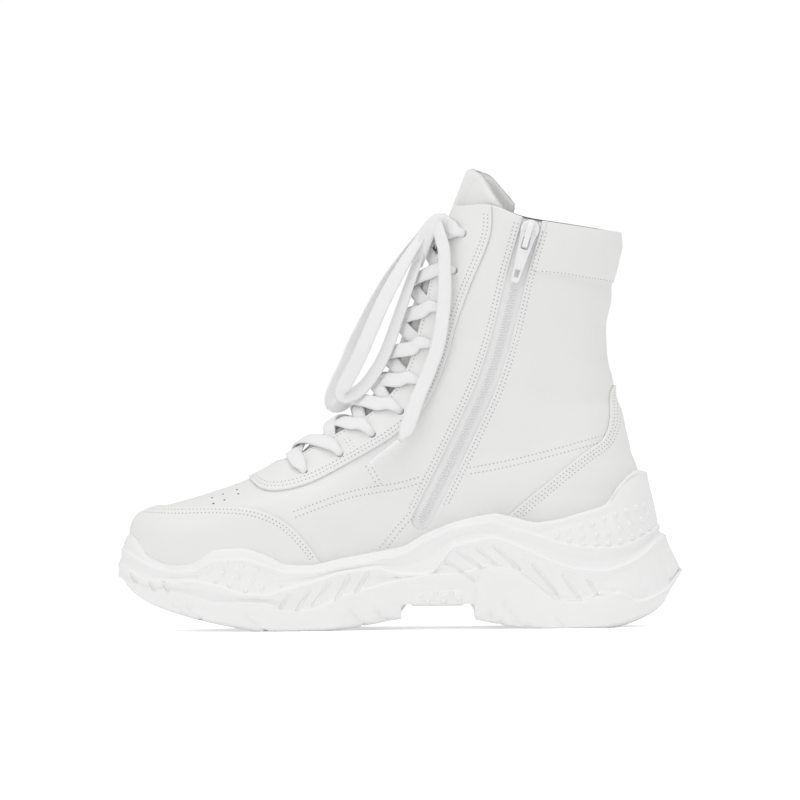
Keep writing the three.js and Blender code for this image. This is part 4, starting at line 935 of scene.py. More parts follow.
def level_steps(low, high, cell=CELL):
    dense = np.linspace(low, high, 600)
    run = 0.6 * run_along(last_point(0.25, dense)) + 0.4 * run_along(last_point(0.03, dense))
    count = int(run[-1] / cell) + 1
    return np.interp(np.linspace(0, run[-1], count), run, dense)


ROUND = around_steps(-0.5, 0.5)
UP = level_steps(0.0, 1.0)
print("grid of the upper:", len(ROUND), "x", len(UP))


# %% The base of the upper, with its zip slot, eyelets and perforations
def zip_gap(around, level):
    """Distance from the zip's slot, on the medial side."""
    p = last_point(around, level)
    gap = distance_to_line(ZIP_CENTRE, p[..., 0], p[..., 2]) - ZIP_HALF
    return np.where(np.asarray(around) > 0, gap, 60)


PERFORATIONS = [
    (211, 491), (212, 496.5), (213.5, 502), (222, 488), (223, 493), (224.5, 498.5),
    (236, 484), (237, 488.5), (238.5, 492.5),
]
HOLE_RADIUS = 0.85
hole_around, hole_level = place_in_side_view(*from_picture(PERFORATIONS))


def top_gap(around, level):
    """Distance below the top line."""
    p, top = last_point(around, level), last_point(around, 1.0)
    return (top - p)[..., 2]


def base_field(around, level):
    gap = np.minimum(throat_gap(around, level), zip_gap(around, level))
    gap = np.minimum(gap, eyelet_gap(around, level, 2.0))
    return np.minimum(gap, top_gap(around, level))


def inside_of(outline):
    """The field of a panel: how far inside an outline of the side view a place of the last is."""
    def field(around, level):
        p = last_point(around, level)
        return distance_in(outline, p[..., 0], p[..., 2])

    return field


toe_cap_field, counter_field = inside_of(TOE_CAP_OUTLINE), inside_of(COUNTER_OUTLINE)
facing_edge, cuff_edge = inside_of(EYESTAY_OUTLINE), inside_of(CUFF_OUTLINE)


def facing_field(around, level):
    gap = np.minimum(facing_edge(around, level), throat_gap(around, level))
    gap = np.minimum(gap, eyelet_gap(around, level, 1.9))
    return np.minimum(gap, top_gap(around, level))


def cuff_field(around, level):
    gap = np.minimum(cuff_edge(around, level), zip_gap(around, level))
    return np.minimum(gap, top_gap(around, level))


pieces["upper"] = panel(
    "leather_upper", on_upper, base_field, ROUND[:-1], UP, 0.0, -2.0, roll=0.6, back=False)
for key, name, field, us, vs in [
    ("toe_cap", "toe_cap_leather", toe_cap_field, around_steps(-0.3, 0.3), level_steps(0, 0.3)),
    ("heel_counter", "heel_counter_leather", counter_field, around_steps(0.2, 0.8), level_steps(0, 0.7)),
    ("eyestay", "facing_leather", facing_field, around_steps(-0.36, 0.36), level_steps(0.3, 1.0)),
]:
    pieces[key] = panel(name, on_upper, field, us, vs, OVERLAY_TOP, OVERLAY_UNDER)
for name in ("upper", "toe_cap", "heel_counter", "eyestay"):
    print(name, len(pieces[name].data.polygons), "faces")


# %% The cuff, padded behind the zip
CUFF_TOP = 0.3  # its outer surface at its seam, above the last


def cuff_rise(around, level):
    """How far the cuff stands off the leather below it: nothing at its seam, more in its middle."""
    inside = cuff_field(around, level)
    return np.where(inside > 0, 0.2 + 1.0 * np.sin(np.clip(inside, 0, 9) / 9 * math.pi / 2), 0)


def on_cuff(around, level, offset):
    offset = np.asarray(offset, float)
    return on_upper(around, level, np.where(offset > 0.2, offset + cuff_rise(around, level), offset))


pieces["collar"] = panel(
    "collar_cuff", on_cuff, cuff_field, around_steps(0.12, 0.88), level_steps(0.78, 1.0),
    CUFF_TOP, OVERLAY_UNDER, roll=0.45)

# %% [markdown]
# The inside is seen past the tongue and from above: a smooth lining that follows the upper, and a padded
# insole. Both are sheets of their own; the insole is closed, and the lining is open behind its rolled rim.

# %% Lining, insole and tongue
def lining_field(around, level):
    gap = np.minimum(throat_gap(around, level), zip_gap(around, level))
    return np.minimum(gap, top_gap(around, level) - 0.4)


pieces["lining"] = panel(
    "lining", on_upper, lining_field, around_steps(-0.5, 0.5, 2.6)[:-1], level_steps(0.0, 1.0, 2.6),
    -1.6, -2.1, roll=0.2, back=False)


def tongue_point(share, rise, side, depth):
    """A point of the tongue: share of its half width, rise from toe end to tip, side of the ridge."""
    share, rise, side = np.broadcast_arrays(share, rise, side)
    half = lerp(25, np.where(side > 0, 31, 35), rise)
    level = lerp(0.455, 1.08 - 0.046 * share ** np.where(side > 0, 3, 6), rise)
    aside = share * half
    throat = throat_half(np.clip(level, THROAT_FROM + THROAT_ROUND, 1))
    under_vamp = 1 - smooth((level - THROAT_FROM - 0.02) / THROAT_ROUND)
    under_facing = smooth((aside / throat - 0.6) / 0.3)
    sunk = lerp(lerp(TONGUE_SUNK - TONGUE_SWELL, 4.4, under_facing), 2.6, under_vamp)
    edge = np.clip((1 - share) / 0.09, 0, 1)
    top = np.clip((1 - rise) / 0.022, 0, 1)
    padded_tip = smooth((rise - 0.82) / 0.12)
    soft = 1.7 + 0.9 * padded_tip
    rounding = soft * (1 - np.sqrt(1 - (1 - edge) ** 2)) + soft * (1 - np.sqrt(1 - (1 - top) ** 2))
    body = (3.6 + 3.0 * padded_tip) * lerp(1, 0.6, share * share)
    around, place_level = place_beside(level, np.where(side > 0, 1, -1) * np.maximum(aside, 0.02))
    front = -sunk - np.minimum(rounding, body / 2 - 0.1)
    back = -sunk - body + np.minimum(rounding, body / 2 - 0.1)
    return on_last(around, place_level, np.where(depth > 0, back, front))


def tongue_sheet():
    across = np.concatenate([-np.linspace(1, 0, 26), np.linspace(0, 1, 26)[1:]])
    rises = np.linspace(0, 1, 110) ** 0.9
    s, r = np.meshgrid(across[::-1], rises)
    front = tongue_point(np.abs(s), r, np.where(s >= 0, 1, -1), 0.0)
    back = tongue_point(np.abs(s), r, np.where(s >= 0, 1, -1), 1.0)
    rows, columns = s.shape
    offset = rows * columns
    faces = grid_faces(rows, columns)[:, ::-1].tolist()
    faces += (grid_faces(rows, columns) + offset).tolist()
    for i in range(columns - 1):
        top = (rows - 1) * columns + i
        faces += [[i + 1, i, offset + i, offset + i + 1], [top, top + 1, offset + top + 1, offset + top]]
    for j in range(rows - 1):
        left, right = j * columns, (j + 1) * columns - 1
        faces += [[left, left + columns, offset + left + columns, offset + left]]
        faces += [[right + columns, right, offset + right, offset + right + columns]]
    return np.concatenate([front.reshape(-1, 3), back.reshape(-1, 3)]), faces


pieces["tongue"] = mesh_object("tongue_padded", *tongue_sheet())


INSOLE_STEPS, FEATHER_LEVEL = 160, 0.025


def insole_sheet():
    """A closed pad: its rim from below to above, then two rings drawn in towards its middle line."""
    around, level = np.linspace(0, 1, INSOLE_STEPS, endpoint=False), np.full(INSOLE_STEPS, FEATHER_LEVEL)
    insets = (-3.4, -3.0, -3.0, -3.6, -8.0)
    rings = [on_last(around, level, np.full(INSOLE_STEPS, inset)) for inset in insets]
    edge = rings[1].copy()
    centre = edge.copy()
    centre[:, 1] = (edge[:, 1] + np.roll(edge[::-1, 1], 1)) / 2
    rings += [lerp(centre, edge, 0.5), lerp(centre, edge, 0.02)]
    for ring, up in zip(rings, (0.2, 0.2, 3.4, 4.0, 4.0, 3.9, 3.9)):
        ring[:, 2] = bed_height(at_x(ring[:, 0])) + up
    faces = grid_faces(len(rings), INSOLE_STEPS, closed=True).tolist()
    last = (len(rings) - 1) * INSOLE_STEPS
    faces += [list(range(INSOLE_STEPS))[::-1], [last + i for i in range(INSOLE_STEPS)]]
    return np.concatenate(rings), faces


pieces["insole"] = mesh_object("insole_pad", *insole_sheet())

# %% [markdown]
# ## The sole
# The sole is one moulding in rubber and foam with lines that run round it, and blocks that stand on the
# ground. Its side wall is a stack of rings, each of which follows one of those lines, so a ridge stays
# crisp along the whole shoe. Slots are cut in it as in a panel, and pips are small domes set on it.

# %% Lines round the sole, by share of its length
SOLE_MEDIAL, SOLE_LATERAL = curves_of([
    (0, 0.51, 0.49), (0.08, 0.52, 0.505), (0.2, 0.53, 0.525), (0.33, 0.507, 0.542), (0.45, 0.435, 0.51),
    (0.55, 0.406, 0.47), (0.65, 0.415, 0.458), (0.75, 0.47, 0.49), (0.85, 0.582, 0.588), (0.92, 0.68, 0.685),
    (1, 0.79, 0.79),
])
TREAD, SPLIT, RIDGE, GROOVE, TOP = curves_of([
    (0, 0.87, 0.92, 1.1, 0.4, 0.66), (0.025, 0.66, 0.84, 0.98, 0.28, 0.66),
    (0.058, 0.48, 0.73, 0.86, 0.13, 0.31), (0.095, 0.35, 0.73, 0.87, 0.06, 0.2),
    (0.13, 0.25, 0.66, 0.91, 0.1, 0.25), (0.175, 0.14, 0.54, 0.86, 0.32, 0.53),
    (0.22, 0.05, 0.57, 0.72, 0.35, 0.56), (0.26, -0.03, 0.56, 0.7, 0.25, 0.46),
    (0.3, -0.045, 0.4, 0.82, 0.13, 0.28), (0.34, -0.03, 0.42, 0.93, 0.12, 0.26),
    (0.4, 0.03, 0.64, 1.05, 0.17, 0.32), (0.45, 0.1, 0.72, 1.02, 0.17, 0.32),
    (0.5, 0.16, 0.76, 0.84, 0.16, 0.3), (0.545, 0.16, 0.76, 0.77, 0.3, 0.43),
    (0.6, 0.15, 0.7, 1.06, 0.38, 0.51), (0.66, 0.07, 0.76, 1.06, 0.38, 0.53),
    (0.7, 0.02, 0.71, 0.95, 0.2, 0.42), (0.74, -0.015, 0.52, 0.83, 0.08, 0.31),
    (0.78, -0.03, 0.32, 0.72, -0.06, 0.36), (0.82, -0.03, 0.34, 0.65, -0.14, 0.47),
    (0.86, -0.015, 0.4, 0.64, -0.17, 0.6), (0.89, 0.02, 0.38, 0.69, -0.14, 0.98),
    (0.92, 0.08, 0.3, 0.78, -0.04, 1.2), (0.96, 0.22, 0.38, 1.0, 0.22, 1.22), (1, 0.6, 0.65, 1.2, 0.5, 1.22),
])
# The side wall's rings, lowest first: which line, how far above it, and how far in from the outline at the
# toe, at the sides and at the heel. 0 tread, 1 split, 2 ridge, 3 groove, 4 top; 0.5 lies between two lines.
SOLE_WALL = [
    (0, 0, 7, 5, 14), (0, 0.7, 4.2, 3.1, 9.5), (0, 2.4, 2.1, 1.2, 5.4), (0.5, 0, 0.7, 0.3, 1.9),
    (1, -1.2, 0.2, 0.1, 0.8), (1, -0.3, 0.1, 0.3, 0.5), (1, 0.4, 0.2, 1.5, 0.8),
    (1, 1.4, 0.3, 2.2, 1.7), (1.5, 0, 0.3, 2.6, 5.2),
    (2, -1.5, 0.2, 1.5, 8.8), (2, -0.5, 0.1, 0.7, 9.4), (2, 0.4, 0.3, 1.0, 10.1), (2, 1.4, 0.8, 2.1, 11.0),
    (2.55, 0, 1.8, 3.2, 12.4), (3, -1.4, 1.8, 2.5, 12.1), (3, -0.5, 1.7, 2.1, 12), (3, 0.4, 2.0, 2.4, 12.4),
    (3, 1.3, 2.7, 3.1, 13.2), (3.5, 0, 3.6, 3.6, 15.5), (4, -1.9, 4.8, 4.1, 18.6), (4, -0.9, 5.6, 4.6, 20),
    (4, -0.2, 7.2, 5.6, 21.6), (4, 0, 9.5, 8, 24), (4, -0.9, 13, 12.5, 29),
]
WALL_LINE, WALL_ABOVE, *WALL_INSETS = np.array(SOLE_WALL, float).T
INSET_TOE, INSET_SIDE, INSET_HEEL = (curve_through(range(len(SOLE_WALL)), insets) for insets in WALL_INSETS)


def wall_height(row, at):
    """The height of a row of the side wall at shares of the shoe's length."""
    bed = bed_height(at)
    lines = np.stack([bed * TREAD(at), bed * SPLIT(at), bed * RIDGE(at),
                      bed + CUP_HEIGHT * GROOVE(at), bed + CUP_HEIGHT * TOP(at)])
    line = WALL_LINE[row]
    low = np.minimum(line.astype(int), 3)
    under, over = (np.take_along_axis(lines, (low + i)[None], 0)[0] for i in (0, 1))
    return lerp(under, over, line - low) + WALL_ABOVE[row]


def sole_point(around, ring):
    """A point of the sole's side wall. around runs as on the last; ring counts the rows of SOLE_WALL."""
    around, ring = np.broadcast_arrays(np.asarray(around, float), np.asarray(ring, float))
    angle = 2 * math.pi * around
    along = (1 - np.cos(angle)) / 2
    shape = np.where(np.sin(angle) > 0, SOLE_MEDIAL(along), SOLE_LATERAL(along)) * rounded_ends(angle, along)
    toe, side, heel = INSET_TOE(ring), INSET_SIDE(ring), INSET_HEEL(ring)
    x = lerp(TOE_X + toe, -TOE_X - heel, along)
    y = toe_turn(along) - SOLE_WIDTH * shape * (1 - 2 * side / SOLE_WIDTH)
    at = at_x(x)
    low = np.clip(np.floor(ring).astype(int), 0, len(SOLE_WALL) - 2)
    t = ring - low
    return np.stack([x, y, lerp(wall_height(low, at), wall_height(low + 1, at), t)], -1)


def sole_normal(around, ring):
    ring = np.asarray(ring, float)
    low, high = np.maximum(ring - 0.3, 0), np.minimum(ring + 0.3, len(SOLE_WALL) - 1)
    return unit(np.cross(sole_point(around + 0.003, ring) - sole_point(around - 0.003, ring),
                         sole_point(around, high) - sole_point(around, low)))


# Soft lines moulded in the wall, in the picture: along each, how far out or in, and how wide
MOULDED = [
    ([(174, 603), (183, 614)], -1.1, 1.4), ([(186, 604), (200, 618)], -1.1, 1.4),
    ([(247, 614), (264, 630)], -1.1, 1.5), ([(351, 609), (363, 622)], -1.1, 1.5),
    ([(376, 609), (388, 620)], -1.1, 1.5), ([(489, 611), (499, 620)], -1.0, 1.4),
    ([(503, 604), (527, 626)], -1.1, 1.5), ([(554, 615), (567, 628)], -1.0, 1.4),
    ([(612, 498), (622, 486), (631, 476), (641, 470)], -0.55, 1.4),
    ([(604, 512), (622, 503), (652, 490)], -0.5, 1.3),
    ([(532, 532), (560, 524), (604, 512)], -0.5, 1.6),
    ([(612, 596), (636, 598), (648, 591)], -0.5, 1.4),
    ([(474, 604), (476, 585), (483, 566), (500, 563), (522, 572), (545, 590), (562, 598), (585, 596),
      (612, 590)], -0.9, 1.5),
    ([(640, 572), (646, 594)], -0.45, 1.1), ([(652, 565), (659, 587)], -0.45, 1.1),
    ([(662, 558), (669, 578)], -0.45, 1.1),
    ([(400, 566), (430, 553), (452, 536), (480, 530), (510, 538)], -0.35, 1.2),
]
MOULDED_LINES = soft_lines(MOULDED, 3.0)


def on_sole(around, ring, offset):
    p = sole_point(around, ring)
    offset = np.asarray(offset, float) + relief_of(MOULDED_LINES, p[..., 0], p[..., 2])
    return p + sole_normal(around, ring) * offset[..., None]


def place_on_sole(x, z, side=1):
    """The around and ring of the side wall's point that the side view shows at x, z."""
    x, z = np.asarray(x, float), np.asarray(z, float)
    low, high = np.full(x.shape, 0.0), np.full(x.shape, float(len(SOLE_WALL) - 1))
    around = np.full(x.shape, 0.25)
    for _ in range(36):
        ring = (low + high) / 2
        a, b = np.zeros_like(x), np.full_like(x, 0.5)
        for _ in range(24):
            around = (a + b) / 2
            before = sole_point(around, ring)[..., 0] < x
            a, b = np.where(before, around, a), np.where(before, b, around)
        under = sole_point(around, ring)[..., 2] < z
        low, high = np.where(under, ring, low), np.where(under, high, ring)
    return side * around, (low + high) / 2


# %% Slots in the side wall, from top end to bottom end, as pixels of the picture
SLOTS = [
    ((288, 592), (280, 605)), ((309, 587), (296, 608)), ((329, 580), (312, 603)), ((348, 575), (335, 598)),
    ((367, 571), (355, 590)), ((445, 560), (472, 578)), ((457, 549), (480, 566)), ((476, 546), (495, 563)),
    ((494, 545), (518, 567)), ((532, 563), (555, 592)), ((562, 574), (578, 597)), ((586, 578), (595, 592)),
    ((150, 581), (153, 588)), ((163, 581), (167, 589)), ((131, 573), (135, 580)),
]
SLOT_LINES = [np.stack(from_picture(ends), -1) for ends in SLOTS]
SLOT_WIDTH, TREAD_DEPTH = 1.9, 3.5
FOREFOOT_END, HEEL_START, ARCH_UNDER = 0.501, 0.63, 0.285
ARCH_FLOOR = ARCH_UNDER * HEEL_PLATFORM


def slot_gap(p):
    """Distance outside the slots."""
    gaps = [distance_to_line(line, p[..., 0], p[..., 2]) for line in SLOT_LINES]
    return np.minimum.reduce(gaps) - SLOT_WIDTH / 2


def sole_field(around, ring):
    """Distance inside the side wall: above the ground, out of the arch's notch and out of the slots."""
    p = sole_point(around, ring)
    x, z = p[..., 0], p[..., 2]
    arch = np.maximum(np.maximum(x_at(FOREFOOT_END) - x, x - x_at(HEEL_START)), z - ARCH_FLOOR)
    above = z - sole_point(around, np.zeros(np.shape(ring)))[..., 2]
    slots = np.maximum(slot_gap(p), TREAD_DEPTH + 1 - above)  # the core ends at the tread
    return np.minimum(np.minimum(arch, slots), z)


sole_dense = np.linspace(-0.5, 0.5, 3000)
sole_run = run_along(sole_point(sole_dense, 6.0))
SOLE_CELL = 0.95
SOLE_ROUND = np.interp(np.linspace(0, sole_run[-1], int(sole_run[-1] / SOLE_CELL)), sole_run, sole_dense)
STEPS_TO_NEXT = {0: 2, 1: 2, 2: 5, 3: 6, 7: 6, 8: 6, 12: 5, 13: 5, 17: 5, 18: 5}  # and 3 from any other ring
SOLE_UP = np.unique(np.concatenate([
    np.linspace(i, i + 1, STEPS_TO_NEXT.get(i, 3) + 1) for i in range(len(SOLE_WALL) - 1)
]))
pieces["sole_wall"] = panel(
    "sole_side_wall", on_sole, sole_field, SOLE_ROUND[:-1], SOLE_UP, 0.0, -1.1, roll=0.45, back=False)
print("side wall", len(pieces["sole_wall"].data.polygons), "faces")


# %% The core behind the side wall, which is the floor of its slots
UNDER_STEPS = 400


def under_outline():
    """The outline of the tread: for steps round the sole, x and y where the side wall meets its underside."""
    around = np.linspace(0, 1, UNDER_STEPS, endpoint=False)
    low, high = np.zeros(UNDER_STEPS), np.full(UNDER_STEPS, 4.0)
    for _ in range(24):
        middle = (low + high) / 2
        under = sole_point(around, middle)[:, 2] < 0
        low, high = np.where(under, middle, low), np.where(under, high, middle)
    ring = np.where(sole_point(around, 0.0)[:, 2] >= 0, 0, (low + high) / 2)
    return sole_point(around, ring)


UNDER = under_outline()
MEDIAL_UNDER = UNDER[:UNDER_STEPS // 2 + 1]
LATERAL_UNDER = np.concatenate([UNDER[UNDER_STEPS // 2:], UNDER[:1]])[::-1]


def side_y(x, medial):
    line = MEDIAL_UNDER if medial else LATERAL_UNDER
    return np.interp(x, line[:, 0], line[:, 1])


def under_height(x):
    return np.maximum(bed_height(at_x(x)) * TREAD(at_x(x)), 0)


def in_notch(x):
    return (x > x_at(FOREFOOT_END)) & (x < x_at(HEEL_START))


core_size, CORE_BEHIND = 260, 0.85  # points in a ring, and millimetres behind the side wall
core_round = np.linspace(0, 1, core_size, endpoint=False)
core_rings = []
for ring in [0, 1, 2, 3, 4, 5, 6.5, 8, 9.5, 10.5, 12, 13, 14.5, 15.5, 17, 18, 19.5, 21, 22, 23]:
    p = on_sole(core_round, np.full(core_size, float(ring)), np.full(core_size, -CORE_BEHIND))
    lowest = under_height(p[:, 0]) + TREAD_DEPTH
    p[:, 2] = np.maximum(p[:, 2], np.where(in_notch(p[:, 0]), ARCH_FLOOR, lowest))
    core_rings.append(p)
inner = core_rings[-1].copy()
inner[:, 1] = inner[:, 1] * 0.6
inner[:, 2] = bed_height(at_x(inner[:, 0])) - 1
core_rings.append(inner)
core_faces = grid_faces(len(core_rings), core_size, closed=True).tolist()
for first, upward in ((0, False), ((len(core_rings) - 1) * core_size, True)):
    for i in range(core_size // 2):
        a, b = first + i, first + i + 1
        c, d = first + (core_size - i) % core_size, first + core_size - i - 1
        quad = [a, b, d, c] if a != c else [a, b, d]
        quad = quad if b != d else [a, b, c]
        core_faces.append(quad if upward else quad[::-1])
pieces["sole_core"] = mesh_object("sole_core", np.concatenate(core_rings), core_faces)


# %% The tread: lugs on the underside, cut apart by grooves
GROOVES = [
    (0.105, 3), (0.13, 4), (0.18, 4), (0.245, 5), (0.3, 4), (0.36, 4), (0.42, 4), (0.46, 4), (0.665, 3),
    (0.7, 5), (0.785, 4), (0.85, 4), (0.915, 4),
]


def tread_field(x, across):
    """Distance inside a lug: grooves in shallow chevrons across the sole, one along it, and the notch."""
    y = -across
    inside = np.minimum(y - side_y(x, True), side_y(x, False) - y)
    ends = np.minimum(x - MEDIAL_UNDER[0, 0], MEDIAL_UNDER[-1, 0] - x)
    gap = np.minimum(inside, ends)
    middle = (side_y(x, True) + side_y(x, False)) / 2
    for at, width in GROOVES:
        chevron = x_at(at) + 7 * np.cos((y - middle) / 42 * math.pi)
        gap = np.minimum(gap, np.abs(x - chevron + 3) - width / 2)
    gap = np.minimum(gap, np.abs(y - middle) - 1.6)
    arch = np.maximum(x_at(FOREFOOT_END) - x, x - x_at(HEEL_START))
    return np.minimum(gap, arch)


def on_tread(x, across, offset):
    return np.stack(np.broadcast_arrays(x, -across, under_height(x) - offset), -1)


tread_cell = 1.5
pieces["tread"] = panel(
    "tread_lugs", on_tread, tread_field, np.arange(-150, 150, tread_cell), np.arange(-62, 62, tread_cell),
    0.0, -TREAD_DEPTH - 0.2, roll=0.5, steps=2)

# %% [markdown]
# The arch has a soft pod between the two blocks. It starts as a cube, whose edges are rounded by a bevel
# and a subdivision, and small pips are set on it as on the rest of the wall.

# %% Arch pod
pod_low = Vector(metres([x_at(FOREFOOT_END) + 3, 0, 12.2]))
pod_high = Vector(metres([x_at(HEEL_START) - 3.5, 0, 23.6]))
pod_sides = metres(sole_point([0.27, -0.27], [5.0, 5.0]))[:, 1]
pod_middle = Vector(((pod_low.x + pod_high.x) / 2, float(pod_sides.mean()), (pod_low.z + pod_high.z) / 2))
pod_size = Vector((pod_high.x - pod_low.x, float(np.ptp(pod_sides)) + 0.001, pod_high.z - pod_low.z))
bpy.ops.mesh.primitive_cube_add(size=1, location=pod_middle, scale=pod_size)
pod = bpy.context.object
pod.name = pod.data.name = "arch_pod"
bpy.ops.object.transform_apply(location=True, rotation=True, scale=True)
bevel = pod.modifiers.new("round corners", "BEVEL")
bevel.width, bevel.segments = 4.6 * MM, 6
bpy.ops.object.modifier_apply(modifier=bevel.name)
subdivision = pod.modifiers.new("smooth", "SUBSURF")
subdivision.levels = subdivision.render_levels = 1
bpy.ops.object.modifier_apply(modifier=subdivision.name)
bpy.ops.object.shade_smooth()
bpy.ops.object.select_all(action="DESELECT")
pieces["arch_pod"] = pod

# %% [markdown]
# Pips stand in rows on the forefoot's side and round the heel cup. One low dome is modelled once, and its
# copies are turned to the wall's own direction where each of them stands.

# %% Pips on the side wall
PIPS = [
    (198, 573), (209, 566), (215, 578), (222, 570), (225, 561), (229, 582), (237, 574), (241, 564),
    (245, 588), (252, 577), (256, 567), (261, 585), (271, 573), (281, 582),
    (567, 528), (579, 525), (591, 522), (603, 517), (614, 513), (625, 509), (635, 506), (643, 503),
    (556, 533), (568, 537), (581, 534), (595, 533), (607, 531), (618, 527), (629, 522), (640, 518),
    (647, 513), (582, 542), (595, 542), (607, 541), (619, 539), (631, 535), (640, 530), (648, 526),
]
POD_PIPS = [(419, 593), (434, 590), (450, 590), (426, 599), (442, 599), (457, 597)]


def dome(radius, height, sides, rows):
    """A low dome with its middle at the origin, as vertices and faces."""
    turn = 2 * math.pi * np.arange(sides) / sides
    vertices = [np.stack([np.cos(turn) * radius, np.sin(turn) * radius, np.full(sides, -0.5 * height)], -1)]
    for k in range(rows):
        t = k / rows * math.pi / 2
        vertices.append(np.stack([
            np.cos(turn) * radius * math.cos(t), np.sin(turn) * radius * math.cos(t),
            np.full(sides, height * math.sin(t)),
        ], -1))
    vertices = np.concatenate(vertices + [np.array([[0, 0, height]])])
    faces = grid_faces(rows + 1, sides, closed=True).tolist()
    top = rows * sides
    faces += [[top + i, top + (i + 1) % sides, (rows + 1) * sides] for i in range(sides)]
    faces.append(list(range(sides))[::-1])
    return vertices, faces


def set_on(places, normals, shape, tangents=None):
    """Copies of a shape at places, their own z along the normals, as one mesh."""
    shape_vertices, shape_faces = shape
    vertices, faces = [], []
    for i, (place, normal) in enumerate(zip(places, normals)):
        guide = tangents[i] if tangents is not None else np.array([1.0, 0, 0])
        x_axis = unit(guide - normal * (guide @ normal))
        y_axis = np.cross(normal, x_axis)
        start = len(vertices) * len(shape_vertices)
        vertices.append(place + shape_vertices @ np.stack([x_axis, y_axis, normal]))
        faces += [[start + v for v in face] for face in shape_faces]
    return np.concatenate(vertices), faces


pip_places, pip_normals = [], []
for side in (1, -1):
    around, ring = place_on_sole(*from_picture(PIPS), side)
    pip_places.append(on_sole(around, ring, np.full(len(PIPS), -0.25)))
    pip_normals.append(sole_normal(around, ring))
pieces["pips"] = mesh_object(
    "wall_pips", *set_on(np.concatenate(pip_places), np.concatenate(pip_normals), dome(1.5, 1.15, 16, 5)))
pod_x, pod_z = from_picture(POD_PIPS)
pod_places = np.concatenate([
    np.stack([pod_x, np.full(len(pod_x), pod_sides[side] / MM - SHIFT[1] + sign * 0.45), pod_z], -1)
    for side, sign in ((0, -1), (1, 1))
])
pod_normals = np.repeat([[0, -1.0, 0], [0, 1.0, 0]], len(pod_x), axis=0)
pieces["pod_pips"] = mesh_object("pod_pips", *set_on(pod_places, pod_normals, dome(1.3, 0.8, 16, 5)))

# %% [markdown]
# ## The zip
# A coil zip has a woven tape on each side and a nylon coil of two rows of teeth in the middle. The tape is
# a strip of the last's surface, and the teeth are one small shape repeated on both sides of the middle.

# %% Zip tape and teeth
# The tape goes on under the round lower end of the slot, and up to the top line.
ZIP_STEP, ZIP_TOP = 1.45, 226
zip_end = ZIP_CENTRE[-1] + unit(ZIP_CENTRE[-1] - ZIP_CENTRE[-2]) * 6.5
zip_start = ZIP_CENTRE[0] + unit(ZIP_CENTRE[0] - ZIP_CENTRE[1]) * 2
zip_steps = smooth_line(np.concatenate([[zip_start], ZIP_CENTRE, [zip_end]]), ZIP_STEP)
zip_steps = zip_steps[zip_steps[:, 1] < ZIP_TOP]
zip_around, zip_level = place_in_side_view(zip_steps[:, 0], zip_steps[:, 1])
inside_top = zip_level < 0.999
zip_around, zip_level = zip_around[inside_top], zip_level[inside_top]
ZIP_POINTS = on_upper(zip_around, zip_level, np.zeros(len(zip_around)))
ZIP_OUT = last_normal(zip_around, zip_level)
ZIP_DOWN = unit(np.gradient(ZIP_POINTS, axis=0))
ZIP_ACROSS = unit(np.cross(ZIP_DOWN, ZIP_OUT))


def zip_strip(profile):
    """A closed strip down the zip. profile is a closed list of distances across and out of the surface."""
    profile = np.array(profile, float)
    rings = (ZIP_POINTS[:, None] + ZIP_ACROSS[:, None] * profile[None, :, :1]
             + ZIP_OUT[:, None] * profile[None, :, 1:])
    count, size = len(rings), len(profile)
    faces = grid_faces(count, size, closed=True).tolist()
    faces += [list(range(size))[::-1], [(count - 1) * size + i for i in range(size)]]
    run = np.arange(count) * ZIP_STEP
    uv = np.stack(np.broadcast_arrays(run[:, None], profile[None, :, 0]), -1).reshape(-1, 2)
    return rings.reshape(-1, 3), faces, uv


TAPE = [
    (-5.6, -1.6), (-5.6, -1.2), (-2.6, -1.1), (-2.2, -0.9),
    (2.2, -0.9), (2.6, -1.1), (5.6, -1.2), (5.6, -1.6),
]
pieces["zip_tape"] = mesh_object("zip_tape", *zip_strip(TAPE), smooth_shaded=False)


def bar_shape(stations, sides, tall=1.0):
    """A closed round bar along x, from rows of x, radius and rise."""
    turn = 2 * math.pi * np.arange(sides) / sides
    vertices = np.concatenate([
        np.stack([np.full(sides, x), np.cos(turn) * r, up + np.sin(turn) * r * tall], -1)
        for x, r, up in stations
    ])
    faces = grid_faces(len(stations), sides, closed=True)[:, ::-1].tolist()
    top = (len(stations) - 1) * sides
    faces += [list(range(sides)), [top + i for i in range(sides)][::-1]]
    return vertices, faces


# One turn of the coil: a short bar across half of the chain with a round outer end
TOOTH = bar_shape(
    [(0.25, 0.02, 0), (0.3, 0.2, 0), (0.6, 0.27, 0), (1.5, 0.3, 0), (1.95, 0.22, 0), (2.1, 0.02, 0)], 8, 1.3)
tooth_run = np.arange(0, len(ZIP_POINTS) - 4, 0.5)
lower = np.floor(tooth_run).astype(int)
part = (tooth_run - lower)[:, None]
tooth_at = lerp(ZIP_POINTS[lower], ZIP_POINTS[lower + 1], part)
tooth_out = unit(lerp(ZIP_OUT[lower], ZIP_OUT[lower + 1], part))
tooth_across = unit(lerp(ZIP_ACROSS[lower], ZIP_ACROSS[lower + 1], part))
tooth_side = np.where(np.arange(len(tooth_run)) % 2 == 0, 1.0, -1.0)[:, None]
pieces["zip_teeth"] = mesh_object("zip_teeth", *set_on(
    tooth_at + tooth_out * -0.35, tooth_out, TOOTH, tooth_across * tooth_side))

# %% [markdown]
# The slider is a round-topped plate with a bridge, and the pull is a tapered frame that hangs from the
# bridge. Both are laid out in the hinge's own directions: across, down and out. The pull's panel is bare.

# %% Slider and pull
HINGE = np.array([69.4402, -39.7744, 208.1865]) - SHIFT
HINGE_ACROSS = unit(np.array([-0.95483, 0.0575, 0.29153]))
HINGE_DOWN = np.array([-0.28984, 0.03602, -0.9564])
HINGE_OUT = np.array([-0.06549, -0.9977, -0.01772])


